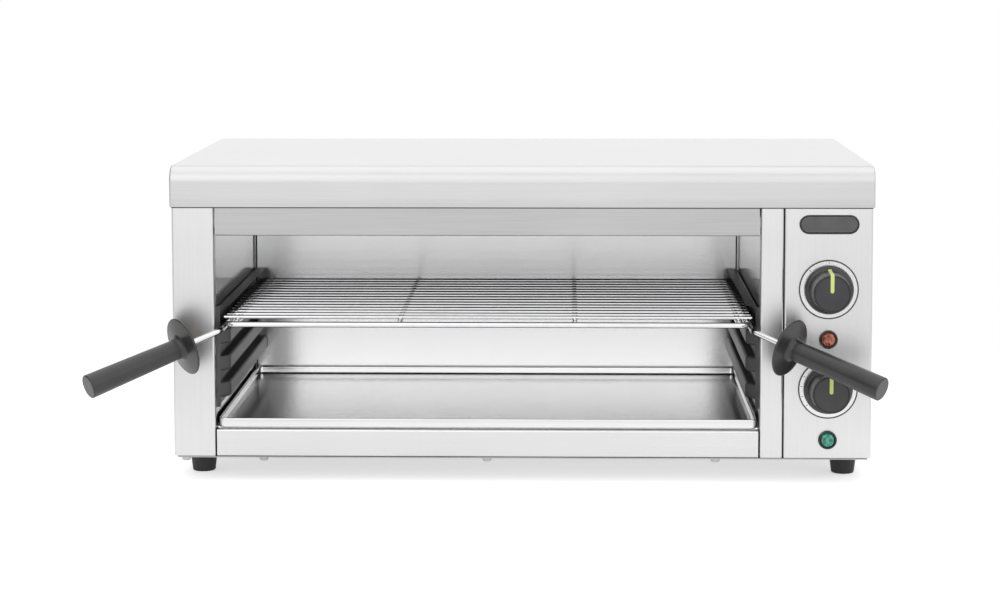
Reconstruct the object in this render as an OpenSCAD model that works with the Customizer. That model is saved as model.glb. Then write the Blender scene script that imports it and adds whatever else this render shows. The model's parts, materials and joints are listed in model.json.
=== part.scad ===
// Compact electric salamander grill (cheese melter), countertop model.
// Frame: +Z up, the open front faces -Y, the origin is the middle of the
// overall box at floor level. Millimetres.

/* [Casing] */
// Thickness of the outer sheet steel
sheet_t = 1; // [0.8:0.1:1.5]
// Centre-line radius of every fold in the sheet
fold_r = 1.5; // [1.2:0.1:2.5]
// Gap between neighbouring sheet edges
seam = 0.5; // [0.3:0.1:1]
// Gap between the rails' ends and the posts
rail_gap = 1.5; // [0.6:0.1:2]
// Gap between the right post and the control panel
panel_gap = 1.5; // [0.5:0.1:2.5]
// Gap between the base plate and the sheets above it
base_gap = 0.4; // [0.3:0.1:0.6]
// Depth from the front plane to the back of the rear panel
casing_d = 327; // [315:1:380]
// Height of the front below the cover's lip
front_h = 220; // [205:1:260]
// Width of the left post
left_post_w = 36.5; // [28:0.5:50]
// Width of the right post
right_post_w = 19.5; // [16:0.5:30]
// Width of the control panel
control_w = 75.5; // [66:0.5:110]
// Depth of the returns along the opening
post_return = 10; // [8:1:14]
// Depth of the flanges on the control panel
panel_flange = 14; // [10:1:20]
// Height of the flanges on the base plate
base_flange = 12; // [8:1:18]

/* [Cover] */
// Height of the cover from lip to top
cover_h = 35.5; // [30:0.5:50]
// Radius of the rolled front edge
cover_roll_r = 14; // [8:0.5:20]
// Radius of the cover's side edges
cover_side_r = 1.5; // [1.5:0.5:4]
// Gap between the cover's skirt and the casing
cover_gap = 0.5; // [0.3:0.1:1]

/* [Cavity] */
// Clear width of the opening
cavity_w = 474; // [420:1:600]
// Depth from the front plane to the cavity's back wall
cavity_d = 285; // [270:1:290]
// Thickness of the cavity's liner sheets
liner_t = 0.8; // [0.6:0.1:1]
// Visible height of the upper fascia
fascia_h = 25; // [18:1:32]
// Height of the lower crossbar
crossbar_h = 25; // [20:1:32]
// Open joint in the back corners
corner_gap = 2.5; // [1.5:0.5:4]
// Height of the ceiling sheet above the cover's lip level
ceiling_rise = 4; // [2:0.5:8]

/* [Rack guides] */
// Height of the rack's rest above the cavity floor
rest_h = 85; // [78:0.5:110]
// Number of ribs on each side
rib_count = 3; // [2:1:3]
// Vertical spacing of the ribs
rib_pitch = 23.6; // [21:0.2:25]
// Height of each rib
rib_h = 13.2; // [9:0.2:14]
// How far the ribs stand out from the wall
rib_depth = 11; // [9:0.5:14]
// Height of the top groove, where the rack sits
top_groove_h = 20; // [17:0.5:26]
// Width of the strip at the front end of each guide
guide_lip = 3; // [2:0.5:3.5]
// Centre-line radius of the folds in the guides
rib_fold_r = 2.6; // [1.2:0.1:3]
// How far the front end of each rib slopes back
rib_slope = 8; // [5:0.5:12]

/* [Rack] */
// Diameter of the frame and handle rods
rod_d = 5; // [4:0.5:5]
// Diameter of the grid wires
wire_d = 3.2; // [2:0.2:4]
// Number of grid wires
wire_count = 15; // [8:1:16]
// Spacing of the grid wires
wire_pitch = 17.8; // [12:0.2:18]
// Distance from the rack's front bar to its first wire
wire_start = 18; // [10:1:25]
// Distance of the frame ring's sides inside the side rods
ring_inset = 3.5; // [0:0.1:3.6]
// Corner radius of the rack's frame ring
ring_corner_r = 7; // [6:0.5:14]
// Room between the rack's side rods and the cavity walls
rack_side_gap = 4.5; // [4:0.5:6]
// Distance from the front plane to the rack's front bar
rack_front = 3; // [3:0.5:8]
// Room between the rack's back bar and the back wall
rack_back_gap = 5; // [3:0.5:10]
// Room under a sliding piece
slide_gap = 0.3; // [0.2:0.1:0.6]

/* [Handles] */
// Distance the side rods run out before they bend
shank_lead = 5; // [4:0.5:15]
// Bend of the rod towards the side, in degrees
handle_swing = 55.8; // [40:0.2:65]
// Turn of that bend below level, in degrees
handle_droop = 20; // [0:1:30]
// Bend radius of the handle rod
shank_bend_r = 9; // [7:0.5:15]
// Straight length of rod from the bend to the guard
shank_l = 32; // [28:1:50]
// Length of the grip with its guard
grip_l = 94.5; // [80:0.5:130]
// Diameter of the grip next to the guard
grip_root_d = 17.6; // [14:0.2:20]
// Diameter of the grip at its end
grip_end_d = 20.8; // [18:0.2:24]
// Diameter of the round guard
guard_d = 51.2; // [44:0.4:60]
// Thickness of the guard's rim
guard_rim_t = 2.2; // [1.5:0.1:3]
// Depth of the threaded insert in the grip
insert_l = 22; // [15:1:30]

/* [Crumb tray] */
// Height of the tray's rim
tray_h = 7.8; // [6:0.2:9]
// Thickness of the tray's sheet
tray_t = 0.8; // [0.6:0.1:1]
// Width of the hem along the tray's rim
tray_hem = 2.4; // [2:0.2:4]
// Corner radius of the tray
tray_corner_r = 5; // [4:0.5:12]
// Room at each side of the tray
tray_side_gap = 2; // [1:0.5:4]
// Distance from the front plane to the tray's front edge
tray_front = 4; // [2:0.5:10]

/* [Heating] */
// Diameter of the heating tubes
element_d = 6.5; // [6:0.5:8]
// Number of heating hairpins
element_count = 3; // [2:1:3]
// Distance between the two legs of a hairpin
element_leg = 34; // [26:1:40]
// Distance between neighbouring hairpins
element_pitch = 80; // [70:1:85]
// Distance of the tubes below the ceiling sheet
element_drop = 14; // [12:0.5:18]
// Diameter of the thermostat's bulb
bulb_d = 6; // [4:0.5:7]
// Length of the bulb inside the cavity
bulb_l = 95; // [60:1:120]

/* [Controls] */
// Height of the upper knob above the base
upper_knob_h = 149; // [140:1:155]
// Height of the lower knob above the base
lower_knob_h = 62; // [55:1:70]
// Height of the upper lamp above the base
upper_lamp_h = 105.5; // [100:0.5:110]
// Height of the lower lamp above the base
lower_lamp_h = 17.5; // [15:0.5:22]
// Distance of the badge plate's middle below the cover's lip
badge_drop = 14.5; // [12:0.5:20]
// Diameter of the knob's skirt
knob_d = 42.4; // [38:0.2:46]
// Diameter of the knob's cap at its foot
cap_d = 34.4; // [30:0.2:36]
// Diameter of the knob's cap at its face
cap_face_d = 32.4; // [26:0.2:34]
// Height of the knob
knob_h = 28.5; // [20:0.5:32]
// Height of the knob's skirt
skirt_h = 6; // [4:0.5:8]
// Width of the coloured pointer
pointer_w = 3.6; // [2:0.2:5]
// Diameter of the dial plate
dial_d = 51.6; // [48:0.2:56]
// Diameter of the knob spindles
spindle_d = 6; // [5:0.5:7]
// Diameter of the lamp bezels
lamp_d = 16.2; // [14:0.2:18]
// Width of the badge plate
badge_w = 52; // [40:1:56]
// Height of the badge plate's outline
badge_tall = 17; // [12:0.5:20]

/* [Feet] */
// Height of the rubber feet
foot_h = 21; // [15:0.5:40]
// Diameter of a foot at the base
foot_top_d = 25; // [22:0.5:30]
// Diameter of a foot at the floor
foot_floor_d = 20; // [18:0.5:26]
// Distance from the casing's side to a foot's centre
foot_side = 19; // [17:0.5:30]
// Distance from the casing's front and back to a foot's centre
foot_end = 49; // [25:1:70]

/* [Cable entry] */
// Diameter of the cable gland's bore
gland_bore_d = 10; // [7:0.5:11]
// Height of the gland above the base
gland_h = 40; // [30:1:60]
// How far the gland stands out at the back
gland_l = 20; // [16:1:26]

/* [Hidden] */
$fn = 48;
eps = 0.01;

// Casing, with x = 0 in the middle of the cavity and y = 0 at the front plane
half_w = cavity_w / 2;
left_x = -half_w - left_post_w;
panel_x0 = half_w + right_post_w + panel_gap;
right_x = panel_x0 + control_w;
casing_w = right_x - left_x;
casing_mid_x = (left_x + right_x) / 2;
base_z = foot_h;
base_top_z = base_z + sheet_t;
panel_z0 = base_top_z + base_gap;
lip_z = base_z + front_h;
cover_top_z = lip_z + cover_h;
under_cover_z = cover_top_z - sheet_t;
inner_edge_r = cover_side_r - sheet_t;
edge_drop = inner_edge_r > cover_gap
    ? inner_edge_r - sqrt(pow(inner_edge_r, 2) - pow(inner_edge_r - cover_gap, 2)) : 0;
side_top_z = under_cover_z - edge_drop;
upright_top_z = cover_top_z - cover_roll_r - sheet_t;
rear_flange_y = casing_d - sheet_t;
rear_flange_w = 16;

// Cavity
floor_z = base_z + crossbar_h + liner_t;
ceiling_z = lip_z + ceiling_rise;
liner_x = half_w + liner_t / 2;
liner_y0 = post_return + seam;
liner_y1 = cavity_d - corner_gap;
liner_fold_r = 1.2;
liner_fold_w = 12;

// Rack guides
rest_z = floor_z + rest_h;
guide_y0 = liner_y0 + liner_t;
guide_inner_x = half_w - rib_depth;
guide_tail = 8;
guide_top_z = rest_z + top_groove_h + liner_t;
guide_bottom_z = rest_z - rib_h - (rib_count - 1) * rib_pitch - guide_tail;

// Rack
rod_r = rod_d / 2;
wire_r = wire_d / 2;
weld = 0.15;
rod_x = half_w - rack_side_gap - rod_r;
rod_z = rest_z + slide_gap + rod_r;
ring_x = rod_x - ring_inset;
ring_z = rod_z + sqrt(pow(rod_d - weld, 2) - pow(ring_inset, 2));
wire_z = ring_z + rod_r + wire_r - weld;
ring_y0 = rack_front;
ring_y1 = cavity_d - rack_back_gap - rod_r;
wire_past = 1.8;
wire_half_l = rod_x + wire_past;
wire_rest_x = ring_x - ring_corner_r;

// Handles, in a plane turned about the side rod
grip_root_at = shank_l;
guard_t = 4.6;
grip_axis = [sin(handle_swing), -cos(handle_swing), 0];
bend_end = [shank_bend_r * (1 - cos(handle_swing)), -shank_bend_r * sin(handle_swing), 0];
grip_end_at = shank_l + grip_l;
grip_end_r = grip_end_d / 2;
end_chamfer = 1;

// Reach of the handles, from the ends of the two grips
grip_end = bend_end + grip_end_at * grip_axis;
end_edge_r = grip_end_r - end_chamfer;
side_dir = sin(handle_swing) * cos(handle_droop);
side_at_chamfer = grip_end[0] - end_chamfer * grip_axis[0];
handle_reach_x = rod_x + max(
    grip_end[0] * cos(handle_droop) + end_edge_r * sqrt(1 - side_dir * side_dir),
    side_at_chamfer * cos(handle_droop) + grip_end_r * sqrt(1 - side_dir * side_dir));
front_at_chamfer = grip_end[1] - end_chamfer * grip_axis[1];
handle_reach_y = shank_lead + max(
    -grip_end[1] + end_edge_r * sin(handle_swing),
    -front_at_chamfer + grip_end_r * sin(handle_swing));

// Controls
control_x = panel_x0 + control_w / 2;
upper_knob_z = base_z + upper_knob_h;
lower_knob_z = base_z + lower_knob_h;
dial_t = 0.8;
knob_lift = dial_t + 0.5;
fixing_x = 14;
fixing_r = 2;
spindle_hole_r = spindle_d / 2 + 2;
switch_side = 44;
switch_depth = 36;
switch_mid_y = sheet_t + switch_depth / 2;
lamp_r = lamp_d / 2;
lamp_barrel_r = lamp_r - 2;
lens_r = lamp_r - 2.2;
lamp_barrel_l = 24;

// Screws
screw_r = 1.9;
screw_hole_r = 2.1;
screw_head_r = 3.8;
screw_head_h = 2.6;
base_screw_head_r = 4;
base_screw_head_h = 3.4;
rear_screw_head_r = 3.4;
rear_screw_head_h = 2.2;

// Cable entry
gland_x = control_x;
gland_z = base_z + gland_h;
gland_thread_r = gland_bore_d / 2 + 2.5;

// Overall box, which sets the origin
box_x0 = min(left_x - cover_gap - sheet_t, -handle_reach_x);
box_x1 = max(right_x + cover_gap + sheet_t, handle_reach_x);
box_y0 = -handle_reach_y;
box_y1 = casing_d + gland_l;
origin_x = (box_x0 + box_x1) / 2;
origin_y = (box_y0 + box_y1) / 2;

steel = "gainsboro";
bright_steel = "silver";
black_plastic = "dimgray";

// ---- Helpers ----

// Moves a piece from the casing's axes to the part's origin
module place() {
    translate([-origin_x, -origin_y, 0]) children();
}

// One sheet seen edge-on: legs along a path with square folds
module folded_strip(path, t, r = fold_r) {
    last = len(path) - 1;
    for (i = [0:last - 1]) {
        a = path[i];
        b = path[i + 1];
        way = (b - a) / norm(b - a);
        start = a + (i > 0 ? r : 0) * way;
        end = b - (i < last - 1 ? r : 0) * way;
        translate(start) rotate(atan2(way[1], way[0]))
            translate([0, -t / 2]) square([norm(end - start), t]);
    }
    for (i = [1:last - 1]) {
        way_in = (path[i] - path[i - 1]) / norm(path[i] - path[i - 1]);
        way_out = (path[i + 1] - path[i]) / norm(path[i + 1] - path[i]);
        middle = path[i] - r * way_in + r * way_out;
        reach = r + t;
        translate(middle) intersection() {
            difference() {
                circle(r = r + t / 2);
                circle(r = r - t / 2);
            }
            polygon([[0, 0], reach * way_in, reach * (way_in - way_out), -reach * way_out]);
        }
    }
}

// A plan outline raised between two heights
module upright(z0, z1) {
    translate([0, 0, z0]) linear_extrude(z1 - z0) children();
}

// A side outline, drawn as [y, z], drawn out from x0 to x1
module crosswise(x0, x1) {
    translate([x0, 0, 0]) rotate([90, 0, 90]) linear_extrude(x1 - x0) children();
}

// A front outline, drawn as [x, z], drawn out from y0 to y1
module lengthwise(y0, y1) {
    translate([0, y1, 0]) rotate([90, 0, 0]) linear_extrude(y1 - y0) children();
}

// A round bar or hole along Y from y0 to y1
module along_y(x, y0, y1, z, r) {
    translate([x, y0, z]) rotate([-90, 0, 0]) cylinder(r = r, h = y1 - y0);
}

// A round bar or hole along X from x0 to x1
module along_x(x0, x1, y, z, r) {
    translate([x0, y, z]) rotate([0, 90, 0]) cylinder(r = r, h = x1 - x0);
}

// Rectangle with round corners, from the origin
module round_rect(w, d, r) {
    translate([r, 0]) square([w - 2 * r, d]);
    translate([0, r]) square([w, d - 2 * r]);
    for (x = [r, w - r], y = [r, d - r]) translate([x, y]) circle(r = r);
}

// Outline whose upper corners are rounded, from the origin
module round_top(w, h, left_r, right_r) {
    square([w, h - max(left_r, right_r)]);
    translate([left_r, 0]) square([w - left_r - right_r, h]);
    if (left_r > 0) translate([left_r, h - left_r]) circle(r = left_r);
    if (right_r > 0) translate([w - right_r, h - right_r]) circle(r = right_r);
    square([left_r > 0 ? left_r : w, h - left_r]);
    translate([w - right_r, 0]) square([right_r, h - right_r]);
}

function unit(v) = v / norm(v);

// Round rod along a path in space, with a bend of one radius at each corner
module bent_rod(path, r, bend, swell = 0) {
    last = len(path) - 1;
    function way(i) = unit(path[i + 1] - path[i]);
    function turn(i) = acos(min(1, max(-1, way(i - 1) * way(i))));
    function trim(i) = (i > 0 && i < last) ? bend * tan(turn(i) / 2) : 0;
    for (i = [0:last - 1]) {
        u = way(i);
        lap = swell > 0 ? r / 5 : 0;
        start = path[i] + (trim(i) - (i > 0 ? lap : 0)) * u;
        length = norm(path[i + 1] - start) - trim(i + 1) + (i < last - 1 ? lap : 0);
        across = abs(u[2]) > 0.9 ? unit(cross(u, [1, 0, 0])) : unit(cross(u, [0, 0, 1]));
        other = cross(u, across);
        multmatrix([[across[0], other[0], u[0], start[0]], [across[1], other[1], u[1], start[1]],
            [across[2], other[2], u[2], start[2]]]) cylinder(r = r, h = length);
    }
    if (last > 1) for (i = [1:last - 1]) {
        u = way(i - 1);
        v = way(i);
        inward = unit(v - (v * u) * u);
        middle = path[i] - trim(i) * u + bend * inward;
        x = -inward;
        z = cross(x, u);
        multmatrix([[x[0], u[0], z[0], middle[0]], [x[1], u[1], z[1], middle[1]],
            [x[2], u[2], z[2], middle[2]]])
            rotate_extrude(angle = turn(i)) translate([bend, 0]) circle(r = r + swell);
    }
}

// Pan-head screw: the head's face on z = 0 and its shank along -z
module pan_screw(shank_l, head_r = screw_head_r, head_h = screw_head_h, r = screw_r) {
    rotate_extrude() {
        translate([0, -shank_l]) square([r, shank_l + eps]);
        intersection() {
            square([head_r, head_h]);
            translate([0, head_h - head_r * 1.35]) circle(r = head_r * 1.35);
        }
    }
}

// ---- Casing ----

// Lid folded from one sheet, with a rolled front edge and a skirt all round
module top_cover() {
    reach = cover_gap + sheet_t;
    w = casing_w + 2 * reach;
    d = casing_d + 2 * reach;
    module block(shrink) {
        roll = cover_roll_r - shrink;
        edge = cover_side_r - shrink;
        side_w = w - 2 * shrink;
        side_d = d - 2 * shrink;
        h = cover_h - shrink;
        z0 = shrink > 0 ? lip_z - 1 : lip_z;
        rise = shrink > 0 ? h + 1 : h;
        intersection() {
            crosswise(left_x - reach + shrink, left_x - reach + shrink + side_w)
                translate([-reach + shrink, z0]) round_top(side_d, rise, roll, edge);
            lengthwise(-reach, casing_d + reach)
                translate([left_x - reach + shrink, z0]) round_top(side_w, rise, edge, edge);
        }
    }
    color(steel) difference() {
        block(0);
        block(sheet_t);
        for (x = cover_screw_xs) along_y(x, casing_d, casing_d + 5, cover_screw_z, screw_hole_r);
    }
}

cover_screw_z = lip_z + cover_h * 0.39;
cover_screw_end = 60;
cover_screw_xs = [left_x + cover_screw_end, casing_mid_x, right_x - cover_screw_end];

// Side sheet with the left front post folded on
module left_side_panel() {
    t = sheet_t / 2;
    color(steel) difference() {
        upright(panel_z0, side_top_z) folded_strip([[-half_w - t, post_return], [-half_w - t, t],
            [left_x + t, t], [left_x + t, rear_flange_y - t],
            [left_x + rear_flange_w, rear_flange_y - t]], sheet_t);
        roll_clearance();
        for (z = rear_screw_zs) rear_screw_hole(left_x + rear_flange_w / 2, z);
    }
    color(steel) difference() {
        foot_tab(left_x, -half_w);
        base_screw_holes(base_screw_y);
    }
}

// Plain outer side sheet behind the control panel, with vents for the controls
module right_side_panel() {
    t = sheet_t / 2;
    color(steel) difference() {
        upright(panel_z0, side_top_z) folded_strip([[right_x - t, panel_flange + seam],
            [right_x - t, rear_flange_y - t], [right_x - rear_flange_w, rear_flange_y - t]], sheet_t);
        roll_clearance();
        for (z = rear_screw_zs) rear_screw_hole(right_x - rear_flange_w / 2, z);
        for (i = [0:vent_count - 1]) vent_slot(i);
    }
}

vent_count = 8;
vent_pitch = 14;
vent_l = 34;
vent_w = 4;

// One round-ended slot in the right side
module vent_slot(i) {
    y = casing_d / 2 + (i - (vent_count - 1) / 2) * vent_pitch;
    z = base_z + gland_h;
    for (end = [0, vent_l - vent_w])
        along_x(right_x - 3, right_x + 3, y, z + end, vent_w / 2);
    translate([right_x - 3, y - vent_w / 2, z]) cube([6, vent_w, vent_l - vent_w]);
}

// Tab on the base plate behind a post or panel between x0 and x1
module foot_tab(x0, x1) {
    translate([x0 + sheet_t + fold_r, sheet_t - eps, base_top_z])
        cube([x1 - x0 - 2 * (sheet_t + fold_r), panel_flange - sheet_t, sheet_t]);
}

// Room for the cover's rolled edge in the uprights
module roll_clearance() {
    translate([left_x - 5, -5, upright_top_z])
        cube([casing_w + 10, cover_roll_r + sheet_t + 5, cover_h + 10]);
}

// Narrow post between the opening and the control panel
module right_post() {
    t = sheet_t / 2;
    color(steel) upright(panel_z0, upright_top_z) folded_strip([[half_w + t, post_return],
        [half_w + t, t], [half_w + right_post_w - t, t],
        [half_w + right_post_w - t, panel_flange]], sheet_t);
    color(steel) foot_tab(half_w, half_w + right_post_w);
}

// Front sheet that carries the knobs, lamps and badge
module control_panel() {
    t = sheet_t / 2;
    color(steel) difference() {
        upright(panel_z0, upright_top_z) folded_strip([[panel_x0 + t, panel_flange],
            [panel_x0 + t, t], [right_x - t, t], [right_x - t, panel_flange]], sheet_t);
        for (z = [upper_knob_z, lower_knob_z]) {
            along_y(control_x, -1, 3, z, spindle_hole_r);
            for (s = [-1, 1]) along_y(control_x + s * fixing_x, -1, 3, z, fixing_r + 0.2);
        }
        for (h = [upper_lamp_h, lower_lamp_h])
            along_y(control_x, -1, 3, base_z + h, lamp_barrel_r + 0.2);
    }
    color(steel) foot_tab(panel_x0, right_x);
}

rear_screw_end = 17;
rear_screw_zs = [base_z + rear_screw_end, base_z + front_h / 2, lip_z - rear_screw_end];

// Hole for one screw of the rear panel
module rear_screw_hole(x, z) {
    along_y(x, rear_flange_y - 3, casing_d + 3, z, screw_hole_r);
}

// Sheet that closes the back
module rear_panel() {
    color(steel) difference() {
        translate([left_x, rear_flange_y, panel_z0])
            cube([casing_w, sheet_t, upright_top_z - panel_z0]);
        for (x = [left_x + rear_flange_w / 2, right_x - rear_flange_w / 2], z = rear_screw_zs)
            rear_screw_hole(x, z);
        for (x = cover_screw_xs) along_y(x, rear_flange_y - 3, casing_d + 3, cover_screw_z,
            screw_hole_r);
        along_y(gland_x, rear_flange_y - 3, casing_d + 3, gland_z, gland_thread_r + 0.1);
    }
}

foot_xs = [left_x + foot_side, right_x - foot_side];
foot_ys = [foot_end, casing_d - foot_end];
base_x0 = left_x + sheet_t;
base_x1 = right_x - sheet_t;
base_front_y = 0.2;
flange_y0 = panel_flange + seam;
flange_y1 = rear_flange_y - sheet_t - fold_r;
base_screw_y = 5;
screw_from_foot = 27.5;
base_screw_ys = [base_screw_y, max((cavity_d + rear_flange_y) / 2, foot_ys[1] + screw_from_foot)];
base_screw_end = 10;
base_screw_second = 78;
base_screw_last = 38;
base_screw_xs = [left_x + base_screw_end, left_x + base_screw_second, 0, half_w - base_screw_last];
screw_past = 6;

// Holes for one row of the screws under the base
module base_screw_holes(y) {
    for (x = base_screw_xs) translate([x, y, base_z - 1]) cylinder(r = screw_hole_r, h = 5);
}

// Bottom sheet under the posts and panels, with upturned flanges inside the side panels
module base_plate() {
    t = sheet_t / 2;
    color(steel) difference() {
        union() {
            lengthwise(flange_y0, flange_y1) folded_strip([[base_x0 + t, base_z + base_flange],
                [base_x0 + t, base_z + t], [base_x1 - t, base_z + t],
                [base_x1 - t, base_z + base_flange]], sheet_t);
            translate([base_x0 + t + fold_r, base_front_y, base_z])
                cube([base_x1 - base_x0 - sheet_t - 2 * fold_r, casing_d - 2 * base_front_y, sheet_t]);
        }
        for (x = foot_xs, y = foot_ys) translate([x, y, base_z - 1])
            cylinder(r = foot_screw_r + 0.2, h = 5);
        for (y = base_screw_ys) base_screw_holes(y);
    }
}

// Rail over the opening, folded under its lower edge
module upper_fascia() {
    t = sheet_t / 2;
    z = lip_z - fascia_h + t;
    color(steel) crosswise(-half_w + rail_gap, half_w - rail_gap)
        folded_strip([[post_return, z + 6], [post_return, z], [t, z], [t, upright_top_z]], sheet_t);
}

// Rail under the opening, folded back at both edges
module lower_crossbar() {
    t = sheet_t / 2;
    z0 = base_top_z + t;
    z1 = base_z + crossbar_h - t;
    color(steel) difference() {
        crosswise(-half_w + rail_gap, half_w - rail_gap) folded_strip([[post_return + 4, z0],
            [t, z0], [t, z1], [post_return + 4, z1]], sheet_t);
        base_screw_holes(base_screw_y);
    }
}

// ---- Cavity ----

// One side wall of the cavity; side is -1 left and 1 right
module cavity_wall(side) {
    x = side > 0 ? half_w : -half_w - liner_t;
    translate([x, liner_y0, floor_z - liner_t])
        cube([liner_t, liner_y1 - liner_y0, ceiling_z - floor_z + liner_t]);
}

module cavity_wall_left() {
    color(bright_steel) cavity_wall(-1);
}

module cavity_wall_right() {
    color(bright_steel) difference() {
        cavity_wall(1);
        element_holes(half_w - 2, half_w + 3);
        along_x(half_w - 2, half_w + 3, bulb_y, bulb_z, bulb_d / 2 + 0.3);
    }
}

// Back wall, folded forward at its top for the ceiling
module cavity_back() {
    t = liner_t / 2;
    color(bright_steel) crosswise(-half_w, half_w) folded_strip([[cavity_d + t, floor_z - liner_t],
        [cavity_d + t, ceiling_z + liner_t + t], [cavity_d - liner_fold_w, ceiling_z + liner_t + t]],
        liner_t, liner_fold_r);
}

// Shelf that the crumb tray slides on
module cavity_floor() {
    t = liner_t / 2;
    color(bright_steel) crosswise(-half_w, half_w) folded_strip([[liner_y0, floor_z - t],
        [cavity_d - t, floor_z - t], [cavity_d - t, base_top_z]], liner_t, liner_fold_r);
}

// Ceiling sheet that throws the heat down, with a flange at each side
module ceiling_reflector() {
    t = liner_t / 2;
    color(bright_steel) lengthwise(liner_y0, liner_y1) folded_strip([
        [-half_w - liner_fold_w, ceiling_z + t], [half_w + liner_fold_w, ceiling_z + t],
        [half_w + liner_fold_w, ceiling_z + liner_fold_w]], liner_t, liner_fold_r);
}

divider_x = half_w + right_post_w - sheet_t - liner_t;

// Sheet that keeps the heat from the controls
module compartment_divider() {
    color(steel) difference() {
        translate([divider_x, post_return + seam, base_z + sheet_t])
            cube([liner_t, rear_flange_y - post_return - seam, ceiling_z - base_z - sheet_t]);
        element_holes(divider_x - 2, divider_x + 3);
        along_x(divider_x - 2, divider_x + 3, bulb_y, bulb_z, bulb_d / 2 + 0.3);
    }
}

// Guide on the left wall: one sheet folded into ribs and grooves, as [x, z]
module guide_outline() {
    t = liner_t / 2;
    wall_x = -half_w + t;
    inner_x = -guide_inner_x - t;
    ribs = [for (i = [0:rib_count - 1], p = [
        [wall_x, rest_z - t - i * rib_pitch], [inner_x, rest_z - t - i * rib_pitch],
        [inner_x, rest_z - rib_h + t - i * rib_pitch], [wall_x, rest_z - rib_h + t - i * rib_pitch]]) p];
    folded_strip(concat([[inner_x, guide_top_z - t], [wall_x, guide_top_z - t]], ribs,
        [[wall_x, guide_bottom_z]]), liner_t, rib_fold_r);
}

// Outline of one rib along the middle of its sheet, as [x, z]
module rib_section(i) {
    w = rib_depth - liner_t;
    h = rib_h - liner_t;
    translate([-half_w + liner_t / 2, rest_z - rib_h + liner_t / 2 - i * rib_pitch]) {
        square([w - rib_fold_r, h]);
        translate([0, rib_fold_r]) square([w, h - 2 * rib_fold_r]);
        for (z = [rib_fold_r, h - rib_fold_r]) translate([w - rib_fold_r, z]) circle(r = rib_fold_r);
    }
}

// Block whose back or front face slopes back from the strip to the ribs' inner faces
module sloped(from, to) {
    translate([-half_w + guide_lip, guide_y0, guide_bottom_z - 1])
        rotate([0, 0, atan2(rib_slope, rib_depth - guide_lip)]) translate([-rib_slope, from, 0])
            cube([3 * rib_slope + rib_depth, to - from, guide_top_z - guide_bottom_z + 2]);
}

// Guide whose ribs are closed by sloping front ends, with a narrow strip in front of the wall
module rack_guide() {
    strip_lap = 0.2;
    difference() {
        lengthwise(guide_y0, liner_y1) guide_outline();
        sloped(-4 * rib_slope, 0);
    }
    for (i = [0:rib_count - 1]) intersection() {
        lengthwise(guide_y0, guide_y0 + 2 * rib_slope) rib_section(i);
        sloped(0, liner_t);
    }
    translate([-half_w, guide_y0 - liner_t, guide_bottom_z])
        cube([guide_lip, liner_t + strip_lap, guide_top_z - guide_bottom_z]);
}

module rack_guide_left() {
    color(bright_steel) rack_guide();
}

module rack_guide_right() {
    color(bright_steel) mirror([1, 0, 0]) rack_guide();
}

// ---- Heating ----

element_r = element_d / 2;
element_z = ceiling_z - element_drop;
element_side = 22;
terminal_past = 10;
bush_h = 6;
stud_r = 1.8;
stud_l = 14;
element_x0 = -half_w + element_side;
element_x1 = half_w + right_post_w + terminal_past;
element_mid_y = (liner_y0 + cavity_d) / 2;
element_ys = [for (i = [0:element_count - 1])
    element_mid_y + (i - (element_count - 1) / 2) * element_pitch - element_leg / 2];

// Room for the tubes' ends in a sheet between x0 and x1
module element_holes(x0, x1, gap = 0.5) {
    for (y = element_ys, leg = [0, element_leg])
        along_x(x0, x1, y + leg, element_z, element_r + gap);
}

// Hairpins that run across the cavity under the ceiling
module heating_elements() {
    color("dimgray") for (y = element_ys) bent_rod([[element_x1, y, element_z],
        [element_x0, y, element_z], [element_x0, y + element_leg, element_z],
        [element_x1, y + element_leg, element_z]], element_r, element_leg / 2 - eps);
}

// Ceramic bush and stud on each end of the hairpins
module element_terminals() {
    color("ivory") for (y = element_ys, leg = [0, element_leg])
        translate([element_x1, y + leg, element_z]) rotate([0, 90, 0]) {
            cylinder(r = element_r + 1, h = bush_h);
            cylinder(r = stud_r, h = stud_l);
        }
}

// Hangers under the ceiling that carry the hairpins
module element_brackets() {
    y0 = element_ys[0] - 10;
    y1 = element_ys[element_count - 1] + element_leg + 10;
    foot = 9;
    color(bright_steel) for (x = [-half_w * 0.55, half_w * 0.45]) difference() {
        union() {
            translate([x, y0, element_z - element_r - 4])
                cube([sheet_t, y1 - y0, ceiling_z - element_z + element_r + 4]);
            translate([x, y0, ceiling_z - sheet_t]) cube([foot, y1 - y0, sheet_t]);
        }
        element_holes(x - 2, x + sheet_t + 2, 0.1);
    }
}

bulb_back = 14;
bulb_drop = 8;
bulb_y = liner_y1 - bulb_back;
bulb_z = ceiling_z - bulb_drop;
capillary_r = 1;
switch_left_x = control_x - switch_side / 2;
bulb_end_x = divider_x + liner_t + 1;
capillary_x = (bulb_end_x + switch_left_x) / 2;

// Sensing bulb through the right wall, with its capillary to the thermostat
module thermostat_bulb() {
    color("peru") {
        along_x(half_w - bulb_l, bulb_end_x, bulb_y, bulb_z, bulb_d / 2);
        bent_rod([[bulb_end_x - eps, bulb_y, bulb_z], [capillary_x, bulb_y, bulb_z],
            [capillary_x, switch_mid_y, bulb_z], [capillary_x, switch_mid_y, lower_knob_z],
            [switch_left_x, switch_mid_y, lower_knob_z]], capillary_r, 4);
    }
}

// ---- Controls ----

// Housing behind the panel with a bore for its spindle
module switch_housing(z, side, depth) {
    difference() {
        lengthwise(sheet_t, sheet_t + depth)
            translate([control_x - side / 2, z - side / 2]) round_rect(side, side, 4);
        along_y(control_x, 0, sheet_t + 24, z, spindle_d / 2 + 0.08);
        for (s = [-1, 1]) along_y(control_x + s * fixing_x, 0, sheet_t + 9, z, fixing_r);
    }
}

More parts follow.
